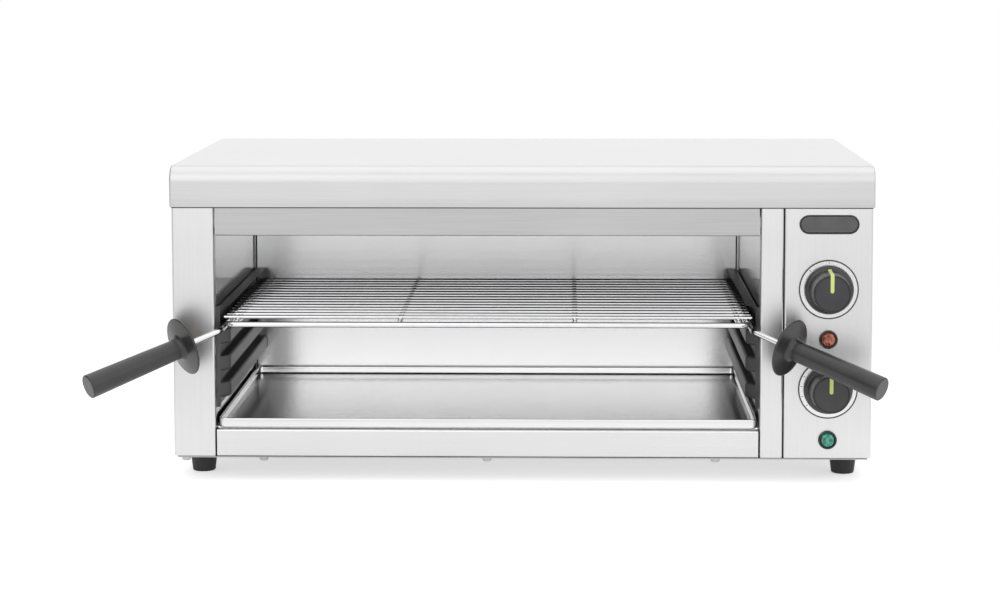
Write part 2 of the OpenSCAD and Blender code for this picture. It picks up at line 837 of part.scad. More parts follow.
module selector_switch() {
    color("ivory") {
        switch_housing(upper_knob_z, switch_side, switch_depth);
        for (i = [-1, 1], j = [-1, 1])
            translate([control_x + i * 12 - 3, sheet_t + switch_depth - eps, upper_knob_z + j * 12 - 0.4])
                cube([6, 8, 0.8]);
    }
}

module thermostat() {
    color("ivory") {
        switch_housing(lower_knob_z, switch_side, switch_depth);
        for (i = [-1, 1])
            translate([control_x + i * 12 - 3, sheet_t + switch_depth - eps, lower_knob_z - 14])
                cube([6, 8, 0.8]);
    }
}

// Screws through dial plate and panel, behind the knobs
module switch_screws() {
    color("silver") for (z = [upper_knob_z, lower_knob_z], s = [-1, 1])
        translate([control_x + s * fixing_x, -dial_t, z]) rotate([90, 0, 0])
            pan_screw(dial_t + sheet_t + 6, 3, 1.6, fixing_r);
}

// Flat ring plate under a knob
module dial_plate(z) {
    edge = 0.4;
    color("whitesmoke") difference() {
        translate([control_x, 0, z]) rotate([90, 0, 0]) rotate_extrude()
            polygon([[spindle_hole_r, 0], [dial_d / 2, 0], [dial_d / 2, edge],
                [dial_d / 2 - edge, dial_t], [spindle_hole_r, dial_t]]);
        for (s = [-1, 1]) along_y(control_x + s * fixing_x, -3, 3, z, fixing_r + 0.2);
    }
}

module upper_dial_plate() {
    dial_plate(upper_knob_z);
}

module lower_dial_plate() {
    dial_plate(lower_knob_z);
}

// Half outline of a knob, from its axis outwards; grow pushes the outside out
module knob_outline(grow = 0) {
    face_r = cap_face_d / 2;
    edge_r = 1.4;
    difference() {
        union() {
            polygon([[0, 0], [knob_d / 2 + grow, 0], [knob_d / 2 + grow, skirt_h * 0.45 + grow],
                [cap_d / 2 + 1.6, skirt_h + grow], [cap_d / 2 + 0.2, skirt_h + grow],
                [cap_d / 2 + grow, skirt_h + 1.2], [face_r + grow, knob_h - edge_r],
                [face_r - edge_r, knob_h - edge_r], [face_r - edge_r, knob_h + grow],
                [0, knob_h + grow]]);
            translate([face_r - edge_r, knob_h - edge_r]) circle(r = edge_r + grow, $fn = 32);
        }
        translate([-knob_d, -1]) square([knob_d, knob_h + 10]);
    }
}

pointer_start = 2.4;
pointer_depth = 0.9;

// The band of the knob that its pointer fills
module pointer_band() {
    translate([-pointer_w / 2, pointer_start, skirt_h * 0.8])
        cube([pointer_w, knob_d, knob_h + 2]);
}

// Coloured pointer inlaid in face and side, proud by a hair; axis along +z, mark along +y
module pointer_shape() {
    intersection() {
        pointer_band();
        difference() {
            rotate_extrude() knob_outline(0.25);
            rotate_extrude() knob_outline(-pointer_depth);
        }
    }
}

// Hollow knob with a hub for its spindle
module knob_shape() {
    wall = 2.2;
    hub_r = spindle_d / 2 + 2.4;
    difference() {
        rotate_extrude() difference() {
            knob_outline();
            translate([hub_r, -eps]) polygon([[0, 0], [knob_d / 2 - hub_r - wall, 0],
                [knob_d / 2 - hub_r - wall, skirt_h * 0.3], [cap_d / 2 - hub_r - wall, skirt_h - 0.6],
                [cap_face_d / 2 - hub_r - wall, knob_h - 3.4], [0, knob_h - 3.4]]);
        }
        translate([0, 0, -1]) cylinder(r = spindle_d / 2, h = knob_l_bore + 1);
        difference() {
            pointer_band();
            rotate_extrude() knob_outline(-pointer_depth);
        }
    }
}

knob_l_bore = 16;

// Turns a knob's own axis to point out of the front at height z
module at_knob(z) {
    translate([control_x, -knob_lift, z]) rotate([90, 0, 0]) children();
}

module upper_knob() {
    color(black_plastic) at_knob(upper_knob_z) knob_shape();
}

module upper_pointer() {
    color("yellowgreen") at_knob(upper_knob_z) pointer_shape();
}

module upper_spindle() {
    color("silver") spindle(upper_knob_z);
}

module lower_knob() {
    color(black_plastic) at_knob(lower_knob_z) knob_shape();
}

module lower_pointer() {
    color("yellowgreen") at_knob(lower_knob_z) pointer_shape();
}

module lower_spindle() {
    color("silver") spindle(lower_knob_z);
}

// Round spindle from inside the switch to the end of the knob's bore
module spindle(z) {
    along_y(control_x, -knob_lift - knob_l_bore, sheet_t + 23, z, spindle_d / 2);
}

// Lamp housing: bezel in front of the panel, barrel and two tabs behind
module lamp_body(h) {
    color("darkslategray") translate([control_x, 0, base_z + h]) {
        rotate([90, 0, 0]) rotate_extrude() difference() {
            union() {
                translate([0, -lamp_barrel_l]) square([lamp_barrel_r, lamp_barrel_l]);
                square([lamp_r - 0.8, 2.2]);
                square([lamp_r, 1.4]);
                translate([lamp_r - 0.8, 1.4]) circle(r = 0.8, $fn = 24);
            }
            translate([0, 0.4]) square([lens_r, 3]);
            translate([-lamp_r, -1]) square([lamp_r, 5]);
        }
        for (s = [-1, 1]) translate([s * 3 - 0.4, lamp_barrel_l - eps, -2.4]) cube([0.8, 8, 4.8]);
    }
}

// Domed lens set in the bezel
module lamp_lens(h) {
    dome = 3;
    sphere_r = (lens_r * lens_r + dome * dome) / (2 * dome);
    translate([control_x, 0, base_z + h]) rotate([90, 0, 0]) rotate_extrude() {
        translate([0, 0.4]) square([lens_r, 1.4]);
        intersection() {
            translate([0, 1.7]) square([lens_r, dome]);
            translate([0, 1.8 + dome - sphere_r]) circle(r = sphere_r, $fn = 96);
        }
    }
}

module heating_lamp_body() {
    lamp_body(upper_lamp_h);
}

module heating_lamp_lens() {
    color("orangered") lamp_lens(upper_lamp_h);
}

module power_lamp_body() {
    lamp_body(lower_lamp_h);
}

module power_lamp_lens() {
    color("seagreen") lamp_lens(lower_lamp_h);
}

// Bare pill-shaped plate with a raised rim
module badge_plate() {
    rim = 0.9;
    plate_t = 1.2;
    r = badge_tall / 2 - eps;
    color("dimgray") translate([control_x - badge_w / 2, 0, lip_z - badge_drop - badge_tall / 2])
        rotate([90, 0, 0]) difference() {
            linear_extrude(plate_t) round_rect(badge_w, badge_tall, r);
            translate([rim, rim, plate_t - 0.4]) linear_extrude(1)
                round_rect(badge_w - 2 * rim, badge_tall - 2 * rim, r - rim);
        }
}

block_w = 46;
block_d = 22;
block_h = 20;
block_from_foot = 60;
block_y = foot_ys[1] - block_from_foot;

// Connection block on the base, with its clamping wells
module terminal_block() {
    pitch = 9;
    color("ivory") difference() {
        translate([control_x - block_w / 2, block_y, base_z + sheet_t]) cube([block_w, block_d, block_h]);
        for (i = [-2:2]) {
            translate([control_x + i * pitch, block_y + 6, base_z + block_h - 6]) cylinder(r = 2.2, h = 10);
            translate([control_x + i * pitch, block_y + block_d - 6, base_z + block_h - 6])
                cylinder(r = 2.2, h = 10);
            along_y(control_x + i * pitch, block_y - 1, block_y + block_d + 1, base_z + 9, 2);
        }
    }
}

// Strain relief through the rear panel: hexagon, thread and domed clamping cap
module cable_gland() {
    hex_r = gland_thread_r + 3;
    hex_h = 5;
    inside_l = 9;
    color(black_plastic) translate([gland_x, casing_d, gland_z]) rotate([-90, 0, 0]) difference() {
        union() {
            translate([0, 0, -inside_l]) cylinder(r = gland_thread_r, h = inside_l + 1);
            cylinder(r = hex_r, h = hex_h, $fn = 6);
            rotate_extrude() polygon([[0, hex_h - eps], [gland_thread_r + 1.6, hex_h - eps],
                [gland_thread_r + 1.6, gland_l - 5], [gland_thread_r - 0.6, gland_l], [0, gland_l]]);
        }
        translate([0, 0, -inside_l - 1]) cylinder(r = gland_bore_d / 2, h = gland_l + inside_l + 2);
    }
}

// Lock nut of the gland, inside the rear panel
module gland_nut() {
    nut_t = 4;
    color(black_plastic) translate([gland_x, rear_flange_y - nut_t, gland_z]) rotate([-90, 0, 0])
        difference() {
            cylinder(r = gland_thread_r + 3, h = nut_t, $fn = 6);
            translate([0, 0, -1]) cylinder(r = gland_thread_r, h = nut_t + 2);
        }
}

// ---- Feet and fasteners ----

foot_screw_r = 2.5;
foot_recess_r = 6;
foot_head_r = 4.6;
foot_head_h = 3;
foot_recess_h = foot_h * 0.55;

// Tapered rubber foot, recessed under its screw
module foot(x, y) {
    top_r = foot_top_d / 2;
    floor_r = foot_floor_d / 2;
    bevel = 1.2;
    color("black") translate([x, y, 0]) rotate_extrude() polygon([[foot_recess_r, 0],
        [floor_r - bevel, 0], [floor_r, bevel], [top_r, foot_h], [foot_screw_r + 0.2, foot_h],
        [foot_screw_r + 0.2, foot_recess_h], [foot_recess_r, foot_recess_h]]);
}

module front_left_foot() {
    foot(foot_xs[0], foot_ys[0]);
}

module front_right_foot() {
    foot(foot_xs[1], foot_ys[0]);
}

module rear_left_foot() {
    foot(foot_xs[0], foot_ys[1]);
}

module rear_right_foot() {
    foot(foot_xs[1], foot_ys[1]);
}

// Screws that hold the feet, each with its head in the recess
module foot_screws() {
    color("silver") for (x = foot_xs, y = foot_ys) translate([x, y, foot_recess_h]) mirror([0, 0, 1])
        pan_screw(foot_h - foot_recess_h + sheet_t + screw_past, foot_head_r, foot_head_h, foot_screw_r);
}

// Domed screws under the front and back edges
module base_screws() {
    color("silver") for (x = base_screw_xs, y = base_screw_ys) translate([x, y, base_z])
        mirror([0, 0, 1]) pan_screw(sheet_t + screw_past, base_screw_head_r, base_screw_head_h);
}

// Screws through the cover's rear skirt
module cover_screws() {
    color("silver") for (x = cover_screw_xs)
        translate([x, casing_d + cover_gap + sheet_t, cover_screw_z]) rotate([-90, 0, 0])
            pan_screw(cover_gap + 2 * sheet_t + screw_past);
}

// Screws that hold the rear panel to the side panels
module rear_panel_screws() {
    color("silver") for (x = [left_x + rear_flange_w / 2, right_x - rear_flange_w / 2],
        z = rear_screw_zs)
        translate([x, casing_d, z]) rotate([-90, 0, 0])
            pan_screw(2 * sheet_t + screw_past, rear_screw_head_r, rear_screw_head_h);
}

// ---- Crumb tray ----

// Shallow pan with a hemmed rim, polished inside
module crumb_tray() {
    w = cavity_w - 2 * tray_side_gap;
    d = cavity_d - tray_front - 3;
    z = floor_z + slide_gap;
    r = tray_corner_r;
    hem_h = 1.8;
    color(bright_steel) translate([-w / 2, tray_front, z]) {
        linear_extrude(tray_t) round_rect(w, d, r);
        linear_extrude(tray_h) difference() {
            round_rect(w, d, r);
            translate([tray_t, tray_t]) round_rect(w - 2 * tray_t, d - 2 * tray_t, r - tray_t);
        }
        translate([0, 0, tray_h - hem_h]) linear_extrude(hem_h) difference() {
            round_rect(w, d, r);
            translate([tray_hem, tray_hem])
                round_rect(w - 2 * tray_hem, d - 2 * tray_hem, r - tray_hem);
        }
    }
}

// ---- Rack ----

// Frame of one closed rod with bent corners, lying on the side rods
module rack_ring() {
    x = ring_x;
    color("silver") {
        bent_rod([[0, ring_y0, ring_z], [x, ring_y0, ring_z], [x, ring_y1, ring_z],
            [-x, ring_y1, ring_z], [-x, ring_y0, ring_z], [0, ring_y0, ring_z]], rod_r, ring_corner_r);
    }
}

cross_rod_xs = [-wire_rest_x, -rod_x / 3, rod_x / 3, wire_rest_x];

// Rods from front bar to back bar that carry the wires
module rack_cross_rods() {
    color("silver") for (x = cross_rod_xs)
        along_y(x, ring_y0 + rod_r - weld, ring_y1 - rod_r + weld, ring_z, rod_r);
}

// Grid wires on top of the cross rods
module rack_wires() {
    color("silver") for (i = [0:wire_count - 1])
        along_x(-wire_half_l, wire_half_l, ring_y0 + wire_start + i * wire_pitch, wire_z, wire_r);
}

// Puts a handle's plane at the front end of a side rod; side is -1 left and 1 right
module at_handle(side) {
    mirror([side < 0 ? 1 : 0, 0, 0])
        translate([rod_x, -shank_lead, rod_z]) rotate([0, handle_droop, 0]) children();
}

// Side rod under the ring that runs on in front as the handle's shank
module handle_rod(side) {
    corner = shank_bend_r * tan(handle_swing / 2);
    rod_end = bend_end + (shank_l + insert_l) * grip_axis;
    color("silver") at_handle(side)
        bent_rod([[0, ring_y1 + shank_lead, 0], [0, -corner, 0], rod_end], rod_r, shank_bend_r,
            bend_swell);
}

module left_handle_rod() {
    handle_rod(-1);
}

module right_handle_rod() {
    handle_rod(1);
}

// Turns the grip's own axis, +z, along the shank, with z = 0 at the guard's back
module at_grip(side) {
    at_handle(side) translate(bend_end + shank_l * grip_axis)
        rotate([90, 0, handle_swing]) children();
}

insert_r = rod_r + 2;
bend_swell = 0.04;

// One moulding: round guard, fillet and tapered grip
module grip(side) {
    root_r = grip_root_d / 2;
    guard_r = guard_d / 2;
    fillet = 5;
    color(black_plastic) at_grip(side) rotate_extrude() difference() {
        union() {
            polygon([[0, 0], [guard_r - 0.6, 0], [guard_r, 0.6], [guard_r, guard_rim_t],
                [root_r + fillet, guard_t], [root_r, guard_t + fillet],
                [grip_end_r, grip_l - end_chamfer], [grip_end_r - end_chamfer, grip_l], [0, grip_l]]);
            difference() {
                translate([root_r, guard_t]) square(fillet);
                translate([root_r + fillet, guard_t + fillet]) circle(r = fillet);
            }
        }
        translate([-1, -1]) square([insert_r + 1, insert_l + 2]);
    }
}

module left_grip() {
    grip(-1);
}

module right_grip() {
    grip(1);
}

// Metal bush in the grip, screwed on the rod's end
module insert(side) {
    color("goldenrod") at_grip(side) difference() {
        cylinder(r = insert_r, h = insert_l + 1);
        translate([0, 0, -1]) cylinder(r = rod_r, h = insert_l + 1);
    }
}

module left_insert() {
    insert(-1);
}

module right_insert() {
    insert(1);
}

// ---- The assembly ----

place() top_cover();
place() left_side_panel();
place() right_side_panel();
place() right_post();
place() control_panel();
place() rear_panel();
place() base_plate();
place() upper_fascia();
place() lower_crossbar();
place() cavity_wall_left();
place() cavity_wall_right();
place() cavity_back();
place() cavity_floor();
place() ceiling_reflector();
place() compartment_divider();
place() rack_guide_left();
place() rack_guide_right();
place() heating_elements();
place() element_terminals();
place() element_brackets();
place() selector_switch();
place() thermostat();
place() thermostat_bulb();
place() switch_screws();
place() terminal_block();
place() cable_gland();
place() gland_nut();
place() heating_lamp_body();
place() heating_lamp_lens();
place() power_lamp_body();
place() power_lamp_lens();
place() badge_plate();
place() upper_dial_plate();
place() lower_dial_plate();
place() upper_knob();
place() upper_pointer();
place() upper_spindle();
place() lower_knob();
place() lower_pointer();
place() lower_spindle();
place() front_left_foot();
place() front_right_foot();
place() rear_left_foot();
place() rear_right_foot();
place() foot_screws();
place() base_screws();
place() cover_screws();
place() rear_panel_screws();
place() crumb_tray();
place() rack_ring();
place() rack_cross_rods();
place() rack_wires();
place() left_handle_rod();
place() right_handle_rod();
place() left_grip();
place() right_grip();
place() left_insert();
place() right_insert();
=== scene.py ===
"""Countertop salamander grill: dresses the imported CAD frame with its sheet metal, rack and controls."""

import json
import logging
from dataclasses import dataclass, field
from enum import Enum
from math import cos, pi, radians, sin, sqrt, tan
from typing import Any, Sequence

import bmesh
import bpy
from mathutils import Matrix, Vector


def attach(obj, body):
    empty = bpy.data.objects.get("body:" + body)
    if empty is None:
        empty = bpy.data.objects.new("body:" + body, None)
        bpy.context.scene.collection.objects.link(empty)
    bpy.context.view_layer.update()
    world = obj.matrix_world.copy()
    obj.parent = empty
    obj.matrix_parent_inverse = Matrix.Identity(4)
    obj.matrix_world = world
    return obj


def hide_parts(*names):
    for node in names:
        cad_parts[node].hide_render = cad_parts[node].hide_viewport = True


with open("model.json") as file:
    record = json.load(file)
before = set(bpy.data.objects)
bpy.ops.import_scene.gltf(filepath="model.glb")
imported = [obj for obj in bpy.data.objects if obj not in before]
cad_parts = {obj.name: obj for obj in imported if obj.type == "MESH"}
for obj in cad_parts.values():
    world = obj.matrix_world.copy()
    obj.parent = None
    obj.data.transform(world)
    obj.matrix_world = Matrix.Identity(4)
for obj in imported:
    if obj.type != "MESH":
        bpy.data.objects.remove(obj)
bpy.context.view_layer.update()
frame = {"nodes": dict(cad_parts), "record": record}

log = logging.getLogger("grill")

Point = tuple[float, ...]
Tree = bpy.types.NodeTree
Node = bpy.types.Node
Socket = bpy.types.NodeSocket

MM = 0.001
FRONT_Y = -127.707  # front plane of the casing, in millimetres
BACK_Y = FRONT_Y + 327.0  # back of the rear panel
BASE_TOP_Z = 22.0  # upper face of the base plate
PANEL_Z0 = 22.4  # lower edge of the posts and the control panel
LIP_Z = 241.0  # lower edge of the cover
HALF_W = 237.0  # half the clear width of the opening
CONTROL_X = 295.75  # middle of the control panel
CORE_R = 1.9  # radius of a sheet-metal screw's shank
RELIEF_M = 0.0002  # height of the surface reliefs at full strength, in metres


# ---- Materials ----


class Grain(Enum):
    """Direction in which a sheet was brushed, as the axis its scratches follow."""

    ALONG_X = (1.0, 0.0, 0.0)
    ALONG_Y = (0.0, 1.0, 0.0)
    ALONG_Z = (0.0, 0.0, 1.0)
    ROUND = (0.0, 0.0, 0.0)


def linear(code: str) -> tuple[float, float, float, float]:
    """Turn an sRGB hex colour into linear light.

    Args:
        code: Six hex digits, with or without a leading #.

    Returns:
        Red, green, blue and an alpha of 1.
    """
    parts = [int(code.lstrip("#")[i:i + 2], 16) / 255 for i in (0, 2, 4)]
    lit = [p / 12.92 if p <= 0.04045 else ((p + 0.055) / 1.055) ** 2.4 for p in parts]
    return (lit[0], lit[1], lit[2], 1.0)


WHITE = linear("#ffffff")


def add_node(tree: Tree, kind: str, settings: dict[Any, Any] | None = None,
             links: dict[Any, Any] | None = None) -> Node:
    """Add one node with its settings and its incoming links.

    Args:
        tree: Node tree that gets the node.
        kind: Shader node type without its prefix, such as Bump.
        settings: Values by name. A number or a capitalised name is an input socket, any other a property.
        links: Output sockets by the name or number of the input that they feed.

    Returns:
        The new node.
    """
    node = tree.nodes.new("ShaderNode" + kind)
    for name, value in (settings or {}).items():
        if isinstance(name, int) or name[0].isupper():
            node.inputs[name].default_value = value
        else:
            setattr(node, name, value)
    for name, source in (links or {}).items():
        tree.links.new(source, node.inputs[name])
    return node


def mottle(tree: Tree, size: Sequence[float], detail: float = 2.0) -> Socket:
    """Add a noise whose blotches have a real size along X, Y and Z.

    Args:
        tree: Node tree that gets the pattern.
        size: Size of a blotch in millimetres along each axis.
        detail: Octaves of finer noise.

    Returns:
        The noise's factor output.
    """
    place = add_node(tree, "TexCoord")
    scale = [1000.0 / s for s in size]
    sized = add_node(tree, "Mapping", {"Scale": scale}, {"Vector": place.outputs["Object"]})
    noise = add_node(tree, "TexNoise", {"Scale": 1.0, "Detail": detail, "Roughness": 0.55},
                     {"Vector": sized.outputs["Vector"]})
    return noise.outputs["Fac"]


def spread(tree: Tree, source: Socket, low: float, high: float) -> Socket:
    """Stretch the middle of a noise to the values low to high."""
    settings = {"From Min": 0.3, "From Max": 0.7, "To Min": low, "To Max": high}
    return add_node(tree, "MapRange", settings, {"Value": source}).outputs["Result"]


def larger(tree: Tree, one: Socket, other: Socket) -> Socket:
    """Return the larger of two values."""
    return add_node(tree, "Math", {"operation": "MAXIMUM"}, {0: one, 1: other}).outputs[0]


def mixed(tree: Tree, part: Socket, one: Node, other: Node) -> Node:
    """Mix two shaders by a value."""
    return add_node(tree, "MixShader", {}, {0: part, 1: one.outputs[0], 2: other.outputs[0]})


@dataclass(frozen=True)
class Finish:
    """A surface: the material, how it was made, and its slot in the record."""

    name: str
    slot: str
    tone: str
    shade: str
    rough: tuple[float, float] = (0.28, 0.36)
    relief: float = 0.05

    def material(self) -> bpy.types.Material:
        """Return the finish's material, made at its first use."""
        made = bpy.data.materials.get(self.name)
        if made is None:
            made = bpy.data.materials.new(self.name)
            made.use_nodes = True
            made.node_tree.nodes.clear()
            shader = self.shader(made.node_tree)
            add_node(made.node_tree, "OutputMaterial", {}, {"Surface": shader.outputs[0]})
        return made

    def colour(self, tree: Tree, cloud: Socket) -> Socket:
        """Mix shade and tone by a noise and return the colour output."""
        node = add_node(tree, "Mix", {"data_type": "RGBA", 6: linear(self.shade), 7: linear(self.tone)},
                        {0: spread(tree, cloud, 0.0, 1.0)})
        return node.outputs[2]

    def skin(self, tree: Tree, cloud: Socket, wear: Socket, height: Socket, values: dict[str, Any],
             links: dict[str, Socket] | None = None) -> Node:
        """Build the shader that the opaque finishes share.

        Args:
            tree: Node tree that gets the nodes.
            cloud: Noise that mixes shade and tone.
            wear: Noise that varies the roughness.
            height: Noise that raises the surface.
            values: Further settings of the shader.
            links: Further inputs of the shader.

        Returns:
            The shader node.
        """
        bump = add_node(tree, "Bump", {"Strength": self.relief, "Distance": RELIEF_M}, {"Height": height})
        inputs = {"Base Color": self.colour(tree, cloud), "Roughness": spread(tree, wear, *self.rough),
                  "Normal": bump.outputs[0]}
        return add_node(tree, "BsdfPrincipled", values, inputs | (links or {}))

    def shader(self, tree: Tree) -> Node:
        """Build the surface in the tree and return its shader node."""
        raise NotImplementedError


@dataclass(frozen=True)
class GrainedMetal(Finish):
    """Sheet or rod of bare metal with the fine scratches of its last rolling, belt or wheel."""

    grain: Grain = Grain.ALONG_X
    # A 240-grit belt leaves scratches of about 0.1 mm; they are drawn eight times as wide to show at all
    scratch_mm: float = 0.8
    streak_mm: float = 70.0
    # How far a reflection is drawn out across the scratches, from 0 to 1, on sheets brushed sideways
    pull: float = 0.0

    def shader(self, tree: Tree) -> Node:
        """Build long scratches over wide faint clouds and return the shader."""
        scratches = mottle(tree, [self.streak_mm if a else self.scratch_mm for a in self.grain.value])
        clouds = mottle(tree, (140.0, 140.0, 90.0))
        both = add_node(tree, "Math", {"operation": "ADD"}, {0: scratches, 1: clouds})
        half = add_node(tree, "Math", {"operation": "MULTIPLY", 1: 0.5}, {0: both.outputs[0]}).outputs[0]
        values: dict[str, Any] = {"Metallic": 1.0}
        links = {}
        if self.pull > 0:
            sideways = add_node(tree, "Tangent", {"direction_type": "RADIAL", "axis": "Z"})
            values |= {"Anisotropic": self.pull, "Anisotropic Rotation": 0.25}
            links["Tangent"] = sideways.outputs[0]
        return self.skin(tree, half, half, scratches, values, links)


@dataclass(frozen=True)
class HeatedTube(Finish):
    """Nickel-alloy tube that has glowed: grey-brown oxide with bluish and straw bands along it."""

    def shader(self, tree: Tree) -> Node:
        """Build the oxide bands and a scaly surface and return the shader."""
        bands = mottle(tree, (38.0, 26.0, 26.0), 3.0)
        scale = mottle(tree, (1.6, 1.6, 1.6), 4.0)
        return self.skin(tree, bands, scale, scale, {"Metallic": 0.8})


@dataclass(frozen=True)
class Moulding(Finish):
    """Moulded plastic, rubber or glazed ceramic with the texture of its mould."""

    relief: float = 0.12
    # Spark-eroded mould texture has 0.1 to 0.3 mm pits, drawn at half a millimetre or more
    texture_mm: float = 0.6
    coat: float = 0.0

    def shader(self, tree: Tree) -> Node:
        """Build the pitted skin and its faint flow clouds and return the shader."""
        pits = mottle(tree, (self.texture_mm,) * 3)
        flow = mottle(tree, (22.0, 22.0, 22.0))
        return self.skin(tree, flow, flow, pits,
                         {"IOR": 1.5, "Coat Weight": self.coat, "Coat Roughness": 0.08})


@dataclass(frozen=True)
class TintedLens(Finish):
    """Polycarbonate lens, moulded clear with a tint; its ribs inside split the light of the lamp."""

    glow: float = 0.2

    def shader(self, tree: Tree) -> Node:
        """Build the tint with darker ribs and a faint glow and return the shader."""
        colour = self.colour(tree, mottle(tree, (1.6, 9.0, 3.2), 1.0))
        return add_node(tree, "BsdfPrincipled",
                        {"Roughness": 0.06, "IOR": 1.58, "Transmission Weight": 0.35, "Coat Weight": 0.5,
                         "Emission Strength": self.glow},
                        {"Base Color": colour, "Emission Color": colour})


# Ferritic stainless sheet, belt brushed along its length: pale, with soft stretched reflections
COVER_STEEL = GrainedMetal("brushed_cover_steel", "outer_steel", "#cacaca", "#c0c0c0", (0.36, 0.44))
POST_STEEL = GrainedMetal("brushed_post_steel", "outer_steel", "#d6d6d6", "#cecece", grain=Grain.ALONG_Z)
SIDE_STEEL = GrainedMetal("brushed_side_steel", "outer_steel", "#dcdcdc", "#d0d0d0", grain=Grain.ALONG_Y)
CROSSBAR_STEEL = GrainedMetal("brushed_crossbar_steel", "outer_steel", "#d4d4d4", "#cccccc", (0.2, 0.28))
# Painted shade: the sheet over the opening is drawn darker than the posts, for the shade under the cover's lip
FASCIA_STEEL = GrainedMetal("shade_darkened_fascia_steel", "outer_steel", "#b8b8b8", "#aaaaaa", (0.3, 0.4))
# Mill-finish sheet, rolled and left as it came: greyer and a little duller than the brushed sheet
BASE_STEEL = GrainedMetal("mill_finish_base_steel", "base_steel", "#b0b0b0", "#9c9c9c", (0.36, 0.46),
                          grain=Grain.ALONG_Y)
# Bright annealed stainless: smoother than the outside, so it doubles the wires and the tray
LINER_STEEL = GrainedMetal("bright_liner_steel", "liner_steel", "#ececec", "#e8e8e8", (0.2, 0.23), 0.003,
                           scratch_mm=1.2, pull=0.9)
# The side walls were polished once more and double the ends of the wires
WALL_STEEL = GrainedMetal("polished_wall_steel", "liner_steel", "#e2e2e2", "#dadada", (0.1, 0.14), 0.003,
                          Grain.ALONG_Y, scratch_mm=2.0)
# Painted shade: the pressed guides are drawn dark grey for the shade and dark reflections on the cavity's
# sides; they are dull, as they came from the tool
GUIDE_STEEL = GrainedMetal("shade_darkened_guide_steel", "liner_steel", "#727272", "#646464", (0.4, 0.48), 0.03,
                           Grain.ALONG_Y)
TRAY_STEEL = GrainedMetal("satin_tray_steel", "tray_steel", "#dedede", "#d4d4d4", (0.13, 0.19), 0.008,
                          scratch_mm=3.0, streak_mm=160.0)
# The sheet over the tubes takes their heat every day and has gone straw-brown to grey
CEILING_STEEL = GrainedMetal("heat_tinted_ceiling_steel", "liner_steel", "#474441", "#383634",
                             (0.24, 0.36), 0.03)
# Drawn steel wire with bright chrome plate: nearly a mirror, with faint draw lines
RACK_CHROME = GrainedMetal("chromed_rack_wire", "rack_chrome", "#dcdcdc", "#cfcfd0", (0.06, 0.1), 0.0,
                           Grain.ROUND, scratch_mm=9.0)
# Zinc-plated steel: cool grey with a slight bloom
SCREW_STEEL = GrainedMetal("zinc_plated_steel", "screw_steel", "#bcbdbd", "#a2a3a4", (0.28, 0.42),
                           grain=Grain.ROUND, scratch_mm=1.0)
# Aluminium sheet, turned and clear anodised: even, silky and a touch whiter than the steel
DIAL_ALUMINIUM = GrainedMetal("anodised_dial_aluminium", "dial_aluminium", "#e8e8e8", "#d0d0d0", (0.2, 0.34),
                              grain=Grain.ROUND, scratch_mm=1.6)
COPPER = GrainedMetal("drawn_copper_tube", "sensor_copper", "#c98a5c", "#a56a42", (0.26, 0.4))
BRASS = GrainedMetal("turned_brass", "insert_brass", "#d6bc74", "#bfa25c", (0.2, 0.34), grain=Grain.ROUND)
ELEMENT_SHEATH = HeatedTube("oxidised_element_sheath", "element_sheath", "#6f675d", "#464a52", (0.42, 0.62),
                            0.25)
# Phenolic handles, compression moulded and satin: near black with broad soft highlights
GRIP_PHENOLIC = Moulding("moulded_phenolic", "grip_phenolic", "#333333", "#2a2a2a", (0.27, 0.36))
# Glass-filled nylon knobs, moulded with a fine matt texture
KNOB_NYLON = Moulding("moulded_knob_nylon", "knob_plastic", "#373739", "#2c2c2e", (0.26, 0.36))
POINTER_ABS = Moulding("moulded_pointer_abs", "pointer_plastic", "#d3e08a", "#c3d276", (0.3, 0.4), 0.04)
BADGE_ENAMEL = Moulding("stoved_badge_enamel", "badge_face", "#555555", "#4b4b4b", (0.34, 0.46),
                        texture_mm=0.9)
BADGE_BLACK = Moulding("black_badge_rim_enamel", "badge_face", "#1c1c1c", "#151515", (0.3, 0.4), 0.05)
# Printed ticks, and a dark ring on the dial's rim that is painted shade on its edge
DIAL_PRINT_AND_EDGE_SHADE = Moulding("printed_ticks_and_painted_edge_shade", "lamp_housing", "#484848", "#3a3a3a", (0.5, 0.6), 0.02)
LAMP_NYLON = Moulding("glossy_lamp_nylon", "lamp_housing", "#23282a", "#191d1f", (0.12, 0.2), 0.03)
FOOT_RUBBER = Moulding("moulded_foot_rubber", "foot_rubber", "#2b2b2b", "#1f1f1f", (0.55, 0.72), 0.2,
                       texture_mm=0.9)
# Painted shadow: a dark strip just under the cover's lip stands for the shade that the lip casts
LIP_SHADOW_STRIP = Moulding("painted_lip_shadow", "foot_rubber", "#222222", "#1a1a1a", (0.6, 0.75), 0.1)
# Painted shade: dark strips in the cavity's back corners stand for the shade in the gaps there
CORNER_SHADOW_STRIP = Moulding("painted_corner_shadow", "liner_steel", "#2c2c2c", "#202020", (0.5, 0.65))
GLAND_NYLON = Moulding("moulded_gland_nylon", "gland_nylon", "#303030", "#242424", (0.4, 0.52))
STEATITE = Moulding("glazed_steatite", "white_ceramic", "#ece8de", "#ddd7ca", (0.16, 0.26), 0.05, coat=0.4)
ORANGE_LENS = TintedLens("orange_polycarbonate", "lens_orange", "#c26a44", "#5c2212", glow=0.24)
GREEN_LENS = TintedLens("green_polycarbonate", "lens_green", "#38b498", "#11594c", glow=0.3)


# ---- Mesh tools ----


def unit(v: Vector) -> Vector:
    """Return the vector at length one."""
    return v.normalized()


def angles(sides: int) -> list[float]:
    """Return the angles of a regular polygon's corners."""
    return [2 * pi * k / sides for k in range(sides)]


